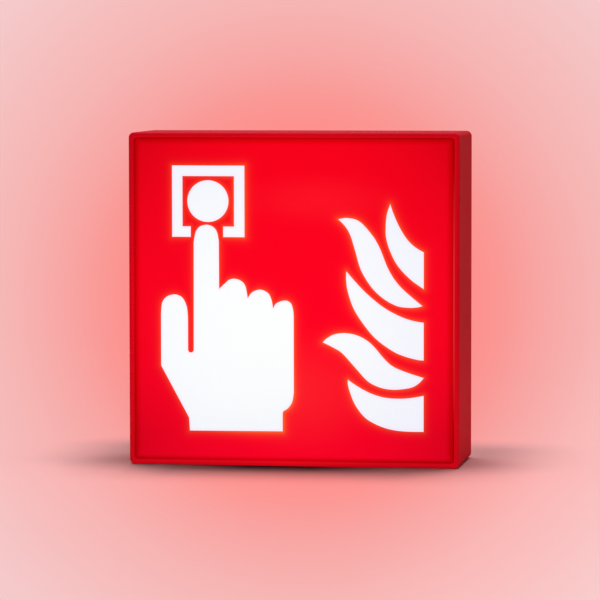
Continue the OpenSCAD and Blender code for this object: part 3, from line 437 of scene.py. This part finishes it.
def panel_light(tree, axes):
    """The panel's colour away from its figures: brighter towards the foot, and warmer in two ovals."""
    low = remap(tree, axes["Z"], 0.0, TOP, 1.0, 0.0)
    red = blend_colors(tree, low, (0.85, 0.0004, 0.0105, 1.0), (0.91, 0.0006, 0.0190, 1.0))
    hot = largest(tree, spot(tree, axes, *HOT_LOW), times(tree, spot(tree, axes, *HOT_HIGH), 0.5))
    return blend_colors(tree, hot, red, (0.89, 0.0110, 0.0225, 1.0))


def halo(tree, axes):
    """How strong the orange light beside the figures is. It dies away within a few millimetres."""
    from_figure = add(tree, "ShaderNodeAttribute", attribute_name="figure_mm").outputs["Fac"]
    fades = [times(tree, power(tree, math.exp(-1 / reach_mm), from_figure), share)
             for share, reach_mm in ((0.85, 1.0), (0.15, 2.4))]
    strength = remap(tree, axes["X"], -0.05, 0.02, 0.6, 0.95)
    for share, oval in HALO_OVALS:
        strength = plus(tree, strength, times(tree, spot(tree, axes, *oval), share))
    return times(tree, plus(tree, *fades), strength)


def red_face():
    """Translucent red acrylic, lit from behind. The light fades towards the edges and the corners,
    and is stronger and more orange close to the white figures. The right edge has a painted highlight, a
    paler line."""
    material, tree, shader = new_material("lit_red_acrylic")
    axes = split_axes(tree, place(tree))
    fine = noise(tree, 0.7 * MM, 3.0)
    lit = blend_colors(tree, halo(tree, axes), panel_light(tree, axes), HALO_LIGHT)
    edge_left = minus(tree, 1.0, edge_loss(tree, axes))
    level = times(tree, minus(tree, 1.0, far_loss(tree, axes)), edge_left)
    light = blend_colors(tree, level, BLACK, lit)
    less_blue = join_color(tree, 1.0, 1.0, power(tree, edge_left, 3.0))
    light = blend_colors(tree, 1.0, light, less_blue, "MULTIPLY")
    # painted highlight along the panel's right edge
    painted_highlight = times(tree, remap(tree, axes["X"], PANEL_HALF - 0.65 * MM, PANEL_HALF - 0.25 * MM),
                 remap(tree, from_middle(tree, axes)[1], 0.02, 0.078, 1.0, 0.0))
    light = blend_colors(tree, painted_highlight, light, (0.66, 0.024, 0.040, 1.0))
    link(tree, shader, Base_Color=(0.20, 0.0003, 0.0008, 1.0), Specular_IOR_Level=0.01,
         Roughness=remap(tree, fine, 0.3, 0.7, 0.30, 0.38), Emission_Color=seen_only(tree, light),
         Emission_Strength=1.0, Normal=bump(tree, fine, 0.1, 0.01 * MM))
    return material


def opal_figure():
    """Opal acrylic, lit from behind, with a cooler border and a fine line inside it."""
    material, tree, shader = new_material("lit_opal_acrylic")
    from_edge_mm = add(tree, "ShaderNodeAttribute", attribute_name="edge_mm").outputs["Fac"]
    axes = split_axes(tree, place(tree))
    fine = noise(tree, 1.1 * MM, 3.0)
    bright = spot(tree, axes, -0.02, 0.085, 0.16, 0.16)
    middle = blend_colors(tree, bright, (0.76, 0.80, 0.91, 1.0), (0.87, 0.93, 0.925, 1.0))
    ramp_mm = 6.0
    border = ramp(tree, calc(tree, "DIVIDE", from_edge_mm, ramp_mm), (
        (0.0, (1.08, 0.84, 0.98, 1.0)), (0.10, (1.06, 0.93, 1.00, 1.0)),
        (0.20, (0.97, 0.93, 0.97, 1.0)), (0.27, (1.0, 1.0, 1.0, 1.0))))
    light = blend_colors(tree, 1.0, middle, border, "MULTIPLY")
    link(tree, shader, Base_Color=(0.20, 0.20, 0.20, 1.0), Specular_IOR_Level=0.05,
         Roughness=remap(tree, fine, 0.3, 0.7, 0.32, 0.40), Emission_Color=seen_only(tree, light),
         Emission_Strength=1.0, Normal=bump(tree, fine, 0.1, 0.01 * MM))
    return material


# ------------------------------------------------------------------ the material of each slot

MATERIALS = {
    "red_housing": red_housing(),
    "opal_sheet": plastic("opal_sheet", (0.86, 0.87, 0.88, 1.0), 0.5, 0.4 * MM),
    "foam_tape": rubber("closed_cell_foam", (0.035, 0.035, 0.037, 1.0), 0.9, 0.6 * MM),
    "white_reflector": plastic("matt_white_reflector", (0.88, 0.88, 0.85, 1.0), 0.65, 0.8 * MM),
    "white_board": plastic("white_solder_mask", (0.80, 0.81, 0.80, 1.0), 0.4, 1.2 * MM),
    "led_phosphor": plastic("led_phosphor", (0.90, 0.66, 0.10, 1.0), 0.35, 0.2 * MM),
    "clear_lens": clear("clear_lens", (0.95, 0.97, 0.98, 1.0)),
    "ivory_plastic": plastic("ivory_nylon", (0.78, 0.74, 0.62, 1.0), 0.5, 0.5 * MM),
    "galvanised_steel": zinc_coat("galvanised_steel", (0.46, 0.54, 0.58, 1.0)),
    "screw_steel": metal("zinc_plated_screw", (0.66, 0.66, 0.64, 1.0), 0.26, (1, 1, 6), 0.4 * MM),
    "black_rubber": rubber("black_rubber", (0.022, 0.022, 0.023, 1.0), 0.7, 0.3 * MM),
    "green_board": circuit_board("green_circuit_board", (0.015, 0.09, 0.03, 1.0)),
    "brass_fittings": metal("turned_brass", (0.72, 0.50, 0.18, 1.0), 0.24, (1, 1, 8), 0.3 * MM),
    "ferrite": plastic("ground_ferrite", (0.035, 0.035, 0.038, 1.0), 0.55, 0.3 * MM),
    "copper_winding": winding("enamelled_winding", (0.45, 0.13, 0.035, 1.0)),
    "capacitor_sleeve": sleeve("capacitor_sleeve", (0.012, 0.03, 0.12, 1.0)),
    "green_lens": clear("green_light_pipe", (0.10, 0.75, 0.20, 1.0), 0.15, (0.02, 0.30, 0.05, 1.0)),
    "black_plastic": plastic("black_nylon", (0.022, 0.022, 0.024, 1.0), 0.5, 0.4 * MM),
    "battery_sleeve": sleeve("battery_sleeve", (0.03, 0.22, 0.07, 1.0)),
    "contact_nickel": metal("nickel_plate", (0.62, 0.60, 0.54, 1.0), 0.22, (1, 6, 1), 0.4 * MM),
    "red_wire": plastic("red_insulation", (0.55, 0.012, 0.01, 1.0), 0.35, 0.8 * MM),
    "black_wire": plastic("black_insulation", (0.02, 0.02, 0.02, 1.0), 0.35, 0.8 * MM),
    "brown_wire": plastic("brown_insulation", (0.12, 0.04, 0.014, 1.0), 0.35, 0.8 * MM),
    "green_wire": plastic("green_insulation", (0.07, 0.32, 0.03, 1.0), 0.35, 0.8 * MM),
}

for name, node in NODES.items():
    if SLOT_OF[name] in MATERIALS:
        node.data.materials.clear()
        node.data.materials.append(MATERIALS[SLOT_OF[name]])


# ------------------------------------------------------------------ face panel and figures

FIGURES = [name for name in NODES if name.endswith("_figure")]
NEAR = 4.5 * MM             # how far from a figure the panel's mesh is fine
NEAR_STEP = 0.8 * MM
FAR_STEP = 3.2 * MM
OUTLINE_GAP = 0.35 * MM     # the least gap from an outline to a point of a grid
ROUNDING = 1.3 * MM         # of the panel's front edge
CORNER = 1.7 * MM           # radius of the panel's corners
MICRON = 1e-6


def front_loops(name):
    """The closed outlines of the face of a node that looks to -Y, as arrays of (x, z)."""
    mesh = NODES[name].data
    front = min(v.co.y for v in mesh.vertices)
    corner = [tuple(round(c / MICRON) for c in v.co) for v in mesh.vertices]
    front_key = round(front / MICRON)
    after = {}
    for face in mesh.polygons:
        keys = [corner[i] for i in face.vertices]
        if all(abs(key[1] - front_key) <= 1 for key in keys) and face.normal.y < -0.9:
            for a, b in zip(keys, keys[1:] + keys[:1]):
                if (b, a) in after:
                    del after[(b, a)]
                else:
                    after[(a, b)] = True
    follows = {a: b for a, b in after}
    loops = []
    while follows:
        start = next(iter(follows))
        loop = [start]
        step = follows.pop(start)
        while step != start:
            loop.append(step)
            step = follows.pop(step)
        loops.append(np.array([(key[0], key[2]) for key in loop]) * MICRON)
    return loops, front


def inside(points, loop):
    """Which of the points lie inside a closed loop."""
    result = np.zeros(len(points), bool)
    ends = np.roll(loop, -1, axis=0)
    for (x0, z0), (x1, z1) in zip(loop, ends):
        if z0 == z1:
            continue
        crosses = (points[:, 1] < z0) != (points[:, 1] < z1)
        result ^= crosses & (points[:, 0] < x0 + (points[:, 1] - z0) * (x1 - x0) / (z1 - z0))
    return result


def inside_any(points, loops):
    """Which of the points lie inside one of the closed loops."""
    result = np.zeros(len(points), bool)
    for loop in loops:
        result |= inside(points, loop)
    return result


def distance_to(points, loops):
    """Distance from each point to the nearest of the loops' edges."""
    nearest = np.full(len(points), np.inf)
    for loop in loops:
        for a, b in zip(loop, np.roll(loop, -1, axis=0)):
            run = b - a
            share = np.clip((points - a) @ run / (run @ run), 0, 1)
            gap = points - a - share[:, None] * run
            nearest = np.minimum(nearest, np.hypot(gap[:, 0], gap[:, 1]))
    return nearest


def grid(low, high, step):
    """Points of a hexagonal grid inside a box."""
    rows = np.arange(low[1], high[1], step * math.sqrt(3) / 2)
    columns = np.arange(low[0], high[0], step)
    x, z = np.meshgrid(columns, rows)
    x = x + (np.arange(len(rows)) % 2)[:, None] * step / 2
    return np.column_stack((x.ravel(), z.ravel()))


def triangulate(loops, seeds, keep):
    """Delaunay triangles over the loops and the seeds, of which only those that keep() likes stay.
    The loops' points come first, in order."""
    points = np.concatenate(list(loops) + [seeds]) if len(seeds) else np.concatenate(loops)
    edges = []
    start = 0
    for loop in loops:
        count = len(loop)
        edges += [(start + i, start + (i + 1) % count) for i in range(count)]
        start += count
    result = delaunay_2d_cdt([Vector(p) for p in points], edges, [], 0, 0.1 * MICRON, True)
    out = np.array([tuple(v) for v in result[0]])
    moved = {}
    for index, sources in enumerate(result[3]):
        for source in sources:
            moved[source] = index
    triangles = np.array(result[2])
    middle = out[triangles].mean(axis=1)
    triangles = triangles[keep(middle)]
    return out, triangles, [moved[i] for i in range(start)]


class Shell:
    """A closed mesh that is put together from flat sheets and strips between loops."""

    def __init__(self):
        self.points = []
        self.flat = []      # each point's (x, z)
        self.faces = []

    def add_points(self, flat, y):
        """Adds points of (x, z) at that depth, and gives the first one's number."""
        start = len(self.points)
        self.points += [(x, y, z) for x, z in flat]
        self.flat += [tuple(p) for p in flat]
        return start

    def sheet(self, flat, triangles, y, towards_front):
        """Adds flat triangles that look to the front or to the back."""
        start = self.add_points(flat, y)
        for a, b, c in triangles:
            ax, az = flat[a]
            bx, bz = flat[b]
            cx, cz = flat[c]
            anticlockwise = (bx - ax) * (cz - az) - (bz - az) * (cx - ax) > 0
            face = (a, b, c) if anticlockwise == towards_front else (c, b, a)
            self.faces.append(tuple(start + i for i in face))
        return start

    def strip(self, front, back):
        """Quads from one ring of points to the next one behind it; rings run the same way."""
        count = len(front)
        for i in range(count):
            j = (i + 1) % count
            self.faces.append((front[i], back[i], back[j], front[j]))

    def build(self, name):
        """The shell as an object of that name."""
        mesh = bpy.data.meshes.new(name)
        mesh.from_pydata([Vector(p) for p in self.points], [], self.faces)
        mesh.validate()
        mesh.update()
        made = bpy.data.objects.new(name, mesh)
        scene.collection.objects.link(made)
        return made


def anticlockwise(loop):
    """The loop, turned round if it runs clockwise."""
    ends = np.roll(loop, -1, axis=0)
    twice_area = np.sum(loop[:, 0] * ends[:, 1] - ends[:, 0] * loop[:, 1])
    return loop if twice_area > 0 else loop[::-1]


def rounded_rectangle(width, height, radius, middle, corner_steps=6):
    """Anticlockwise outline, as many points whatever its size."""
    outline = []
    for turn in range(4):
        across = (1, -1, -1, 1)[turn]
        up = (1, 1, -1, -1)[turn]
        centre = (middle[0] + across * (width / 2 - radius), middle[1] + up * (height / 2 - radius))
        for k in range(corner_steps + 1):
            angle = math.radians(90 * (turn + k / corner_steps))
            outline.append((centre[0] + radius * math.cos(angle), centre[1] + radius * math.sin(angle)))
    return np.array(outline)


def store(piece, name, values):
    """Keeps a number for each point of the piece, for its material to read."""
    attribute = piece.data.attributes.new(name, "FLOAT", "POINT")
    attribute.data.foreach_set("value", np.asarray(values, np.float32))


def finish_piece(piece, node, material):
    """Gives the piece its material, and puts it in its node's place."""
    piece.data.materials.append(material)
    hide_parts(node)
    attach(piece, "sign")


def make_figure(name):
    """An opal figure: the node's own outline, with a mesh fine enough to carry its border."""
    loops, front = front_loops(name)
    outline = anticlockwise(loops[0])
    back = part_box(name)[1].y
    seeds = grid(outline.min(axis=0), outline.max(axis=0), NEAR_STEP)
    seeds = seeds[inside(seeds, outline)]
    seeds = seeds[distance_to(seeds, [outline]) > OUTLINE_GAP]
    flat, triangles, ring = triangulate([outline], seeds, lambda p: inside(p, outline))
    bare, back_triangles, back_ring = triangulate([outline], [], lambda p: inside(p, outline))
    shell = Shell()
    start = shell.sheet(flat, triangles, front, True)
    behind = shell.sheet(bare, back_triangles, back, False)
    shell.strip([start + i for i in ring], [behind + i for i in back_ring])
    piece = shell.build(name.replace("figure", "insert"))
    store(piece, "edge_mm", distance_to(np.array(shell.flat), [outline]) / MM)
    finish_piece(piece, name, OPAL)
    return outline


def panel_seeds(outlines, border):
    """Points for the panel's mesh, inside the border and outside the figures: close together near
    the figures, and far apart elsewhere."""
    low, high = (PANEL_LOW.x, PANEL_LOW.z), (PANEL_HIGH.x, PANEL_HIGH.z)
    near = grid(low, high, NEAR_STEP)
    gap = distance_to(near, outlines)
    near = near[(gap < NEAR) & (gap > OUTLINE_GAP)]
    far = grid(low, high, FAR_STEP)
    far = far[distance_to(far, outlines) > NEAR]
    seeds = np.concatenate((near, far))
    seeds = seeds[inside(seeds, border)]
    return seeds[~inside_any(seeds, outlines)]


def make_panel(outlines, edge_steps=6):
    """The red panel with its windows: a rounded front edge, and a mesh that is fine round the figures."""
    width, height = PANEL_HIGH.x - PANEL_LOW.x, PANEL_HIGH.z - PANEL_LOW.z
    middle = ((PANEL_HIGH.x + PANEL_LOW.x) / 2, (PANEL_HIGH.z + PANEL_LOW.z) / 2)

    def border(inset, radius):
        return rounded_rectangle(width - 2 * inset, height - 2 * inset, radius, middle)

    front = border(ROUNDING, CORNER - ROUNDING)
    seeds = panel_seeds(outlines, border(ROUNDING + FAR_STEP / 2, CORNER - ROUNDING))
    flat, triangles, ring = triangulate(
        [front] + outlines, seeds, lambda p: inside(p, front) & ~inside_any(p, outlines))
    bare, back_triangles, back_ring = triangulate(
        [border(0.0, CORNER)] + outlines, [], lambda p: ~inside_any(p, outlines))
    shell = Shell()
    start = shell.sheet(flat, triangles, PANEL_LOW.y, True)
    count = len(front)
    previous = [start + i for i in ring[:count]]
    for k in range(1, edge_steps + 1):
        angle = math.radians(90 * k / edge_steps)
        inset = ROUNDING * (1 - math.sin(angle))
        first = shell.add_points(border(inset, CORNER - inset),
                                 PANEL_LOW.y + ROUNDING * (1 - math.cos(angle)))
        current = [first + i for i in range(count)]
        shell.strip(previous, current)
        previous = current
    behind = shell.sheet(bare, back_triangles, PANEL_HIGH.y, False)
    shell.strip(previous, [behind + i for i in back_ring[:count]])
    offset = count
    for outline in outlines:
        window = range(offset, offset + len(outline))
        shell.strip([behind + back_ring[i] for i in window], [start + ring[i] for i in window])
        offset += len(outline)
    piece = shell.build("red_face")
    store(piece, "figure_mm", distance_to(np.array(shell.flat), outlines) / MM)
    for face in piece.data.polygons:
        face.use_smooth = True
    finish_piece(piece, "face_panel", RED_FACE)


def coil_pitches(length, wire, turns, turn_steps, closed=0.6, opening=0.3):
    """The pitch at each step of a coil of that length. Its end turns lie side by side, and it opens
    from closed turns off each end, within opening turns."""
    count = turns * turn_steps
    closed_pitch = 2.1 * wire
    shares = [min(max(min(i, count - i) / turn_steps - closed, 0.0) / opening, 1.0) for i in range(count)]
    open_pitch = (length - 2 * wire - closed_pitch * turns) * turn_steps / sum(shares)
    return [closed_pitch + open_pitch * share for share in shares]


def make_spring(node, wire=0.3 * MM, turns=4, turn_steps=32, wire_steps=12):
    """A coil of round wire, wire metres in radius, with closed ends. It stays on the switch."""
    low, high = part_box(node)
    middle = (low + high) / 2
    radius = (high.y - low.y) / 2 - wire
    length = high.x - low.x
    pitches = coil_pitches(length, wire, turns, turn_steps)
    x = low.x + wire
    points = []
    for i, pitch in enumerate(pitches + pitches[-1:]):
        angle = math.tau * i / turn_steps
        outwards = Vector((0.0, math.cos(angle), math.sin(angle)))
        along = Vector((pitch / math.tau, -radius * math.sin(angle), radius * math.cos(angle)))
        across = along.normalized().cross(outwards)
        centre = Vector((x, middle.y, middle.z)) + radius * outwards
        for k in range(wire_steps):
            turn = math.tau * k / wire_steps
            points.append(centre + wire * (math.cos(turn) * outwards + math.sin(turn) * across))
        x += pitch / turn_steps
    last = len(pitches) * wire_steps
    faces = [tuple(reversed(range(wire_steps))), tuple(range(last, last + wire_steps))]
    for start in range(0, last, wire_steps):
        for k in range(wire_steps):
            a, b = start + k, start + (k + 1) % wire_steps
            faces.append((a, b, b + wire_steps, a + wire_steps))
    mesh = bpy.data.meshes.new("test_spring_coil")
    mesh.from_pydata(points, [], faces)
    mesh.update()
    for face in mesh.polygons:
        face.use_smooth = len(face.vertices) == 4
    piece = bpy.data.objects.new("test_spring_coil", mesh)
    scene.collection.objects.link(piece)
    finish_piece(piece, node, MATERIALS[SLOT_OF[node]])
    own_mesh(piece)


OPAL = opal_figure()
RED_FACE = red_face()
make_spring("test_button_spring")
make_panel([make_figure(name) for name in FIGURES])


# ------------------------------------------------------------------ stage, light and camera

CAMERA_PLACE = (0.35191, -2.24121, 0.24841)
CAMERA_TURN = (1.504536, 0.001078, 0.156088)
CAMERA_LENS = 224.894
GLOW_HEIGHT = 0.098         # of the middle of the backdrop's glow
GLOW_REACH = 0.4            # how far from its middle the glow has its last colour
FLOOR_RADIUS = 1.6
FLOOR_SIDES = 96
FLOOR_FADE = (0.5, 1.5)     # how far out the floor starts to clear, and where it is clear


def glow_field():
    """The backdrop's colour along a direction, as if it were painted on the plane Y = 0: a painted pink
    glow of the sign's light round the sign, and paler further away."""
    tree = bpy.data.node_groups.new("glow_field", "ShaderNodeTree")
    tree.interface.new_socket("Direction", in_out="INPUT", socket_type="NodeSocketVector")
    tree.interface.new_socket("Color", in_out="OUTPUT", socket_type="NodeSocketColor")
    axes = split_axes(tree, add(tree, "NodeGroupInput").outputs["Direction"])
    start_x, start_y, start_z = CAMERA_PLACE
    least_y = 0.02
    reach = calc(tree, "DIVIDE", -start_y, largest(tree, axes["Y"], least_y))
    x = plus(tree, times(tree, axes["X"], reach), start_x)
    z = plus(tree, times(tree, axes["Z"], reach), start_z - GLOW_HEIGHT)
    color = ramp(tree, times(tree, distance(tree, x, z), 1 / GLOW_REACH), (
        (0.26, srgb(254, 144, 141)), (0.31, srgb(250, 153, 150)), (0.365, srgb(248, 166, 164)),
        (0.45, srgb(246, 181, 179)), (0.635, srgb(245, 201, 202)), (1.0, srgb(244, 210, 211))))
    add(tree, "NodeGroupOutput", {"Color": color})
    return tree


GLOW = glow_field()


def glow_along(tree, direction):
    """The backdrop's colour, from its node group."""
    return add(tree, "ShaderNodeGroup", {"Direction": direction}, node_tree=GLOW).outputs["Color"]


def set_world():
    """The backdrop where it is seen or mirrored, and an even, nearly white light on everything."""
    world = bpy.data.worlds.new("studio")
    scene.world = world
    world.use_nodes = True
    tree = world.node_tree
    tree.nodes.clear()
    glow = glow_along(tree, add(tree, "ShaderNodeTexCoord").outputs["Generated"])
    rays = add(tree, "ShaderNodeLightPath").outputs
    seen = largest(tree, rays["Is Glossy Ray"], rays["Is Transmission Ray"], rays["Is Camera Ray"])
    shown = add(tree, "ShaderNodeBackground", {"Color": glow, "Strength": 1.0})
    light = add(tree, "ShaderNodeBackground", {"Color": (1.0, 0.985, 0.98, 1.0), "Strength": 0.30})
    mix = add(tree, "ShaderNodeMixShader", {0: seen, 1: light.outputs[0], 2: shown.outputs[0]})
    add(tree, "ShaderNodeOutputWorld", {"Surface": mix.outputs[0]})


def painted_floor_shadow(tree, coordinates, reach=78 * MM, foot_reach=42 * MM):
    """A painted shadow of the sign on the floor: what it leaves of the floor's light. The painted shadow
    reaches further behind the sign than before it, is thinner on the right, and is darkest before the
    middle of the foot."""
    axes = split_axes(tree, coordinates)
    across = calc(tree, "ABSOLUTE", axes["X"])
    set_back = remap(tree, across, 0.7 * HALF_WIDTH, HALF_WIDTH, 0.0, HALF_DEPTH)
    before = minus(tree, set_back, HALF_DEPTH, axes["Y"])
    behind = minus(tree, axes["Y"], 2 * HALF_DEPTH)
    beside = largest(tree, minus(tree, across, HALF_WIDTH), 0.0)
    apart = distance(tree, beside, largest(tree, before, behind, 0.0))
    # painted shadow: soft, strongest close to the sign and thinner on the right
    shaded = times(tree, remap(tree, apart, 5 * MM, reach, 1.0, 0.0, True),
                   remap(tree, axes["X"], 0.5 * HALF_WIDTH, 1.5 * HALF_WIDTH, 1.0, 0.65))
    # painted light: the bare floor right of the sign is a little lighter
    bare = remap(tree, axes["X"], HALF_WIDTH, 1.6 * HALF_WIDTH, 1.0, 1.035)
    shadow_color = blend_colors(tree, shaded, join_color(tree, bare, bare, bare), (0.60, 0.72, 0.74, 1.0))
    # painted near-black shadow along the sign's foot
    off_foot = calc(tree, "ABSOLUTE", plus(tree, axes["X"], 8 * MM))
    foot = times(tree, remap(tree, off_foot, 0.2 * HALF_WIDTH, 0.73 * HALF_WIDTH, 0.85, 0.0),
                 remap(tree, axes["Y"], 30 * MM, -30 * MM))
    corners = remap(tree, across, 0.85 * HALF_WIDTH, 1.05 * HALF_WIDTH, 0.0, 0.15)
    close = times(tree, remap(tree, apart, 0.0, foot_reach, 1.0, 0.0, True), largest(tree, foot, corners))
    return blend_colors(tree, close, shadow_color, BLACK)


def pale_floor():
    """The backdrop's own colour with its painted glow, and the sign's painted shadow on it. It is clear far
    out.
    """
    material, tree, shader = new_material("pale_floor")
    coordinates = add(tree, "ShaderNodeTexCoord").outputs["Object"]
    direction = add(tree, "ShaderNodeVectorMath", {0: coordinates, 1: CAMERA_PLACE}, operation="SUBTRACT")
    glow = glow_along(tree, direction.outputs[0])
    off = add(tree, "ShaderNodeVectorMath", {0: coordinates}, operation="LENGTH").outputs["Value"]
    link(tree, shader, Roughness=0.9, Specular_IOR_Level=0.0,
         Base_Color=blend_colors(tree, 1.0, painted_floor_shadow(tree, coordinates), glow, "MULTIPLY"),
         Alpha=remap(tree, off, *FLOOR_FADE, 1.0, 0.0, True))
    return material


def make_floor():
    """A round floor that fades into the backdrop, takes the sign's cast shadow and carries a painted one.
    """
    rim = [(FLOOR_RADIUS * math.cos(turn), FLOOR_RADIUS * math.sin(turn), 0.0)
           for turn in np.linspace(0, math.tau, FLOOR_SIDES, False)]
    faces = [(0, i + 1, (i + 1) % FLOOR_SIDES + 1) for i in range(FLOOR_SIDES)]
    mesh = bpy.data.meshes.new("floor")
    mesh.from_pydata([(0.0, 0.0, 0.0)] + rim, [], faces)
    mesh.materials.append(pale_floor())
    floor = bpy.data.objects.new("floor", mesh)
    scene.collection.objects.link(floor)


def soft_light(name, strength, spread, lean):
    """Even light from a round field overhead, spread degrees wide and lean degrees towards the back."""
    data = bpy.data.lights.new(name, "SUN")
    data.energy = strength
    data.angle = math.radians(spread)
    lamp = bpy.data.objects.new(name, data)
    lamp.location = (0.0, 0.4, 1.2)     # a sun shines the same from anywhere; here it is clear of the sign
    lamp.rotation_euler = (math.radians(-lean), 0.0, 0.0)
    scene.collection.objects.link(lamp)


set_world()
make_floor()
soft_light("soft_light_above", strength=2.25, spread=28.0, lean=12.0)

camera = bpy.data.objects.new("camera", bpy.data.cameras.new("camera"))
camera.location = CAMERA_PLACE
camera.rotation_euler = CAMERA_TURN
camera.data.lens = CAMERA_LENS
camera.data.sensor_width = 36.0
scene.collection.objects.link(camera)
scene.camera = camera

scene.view_settings.view_transform = "Standard"
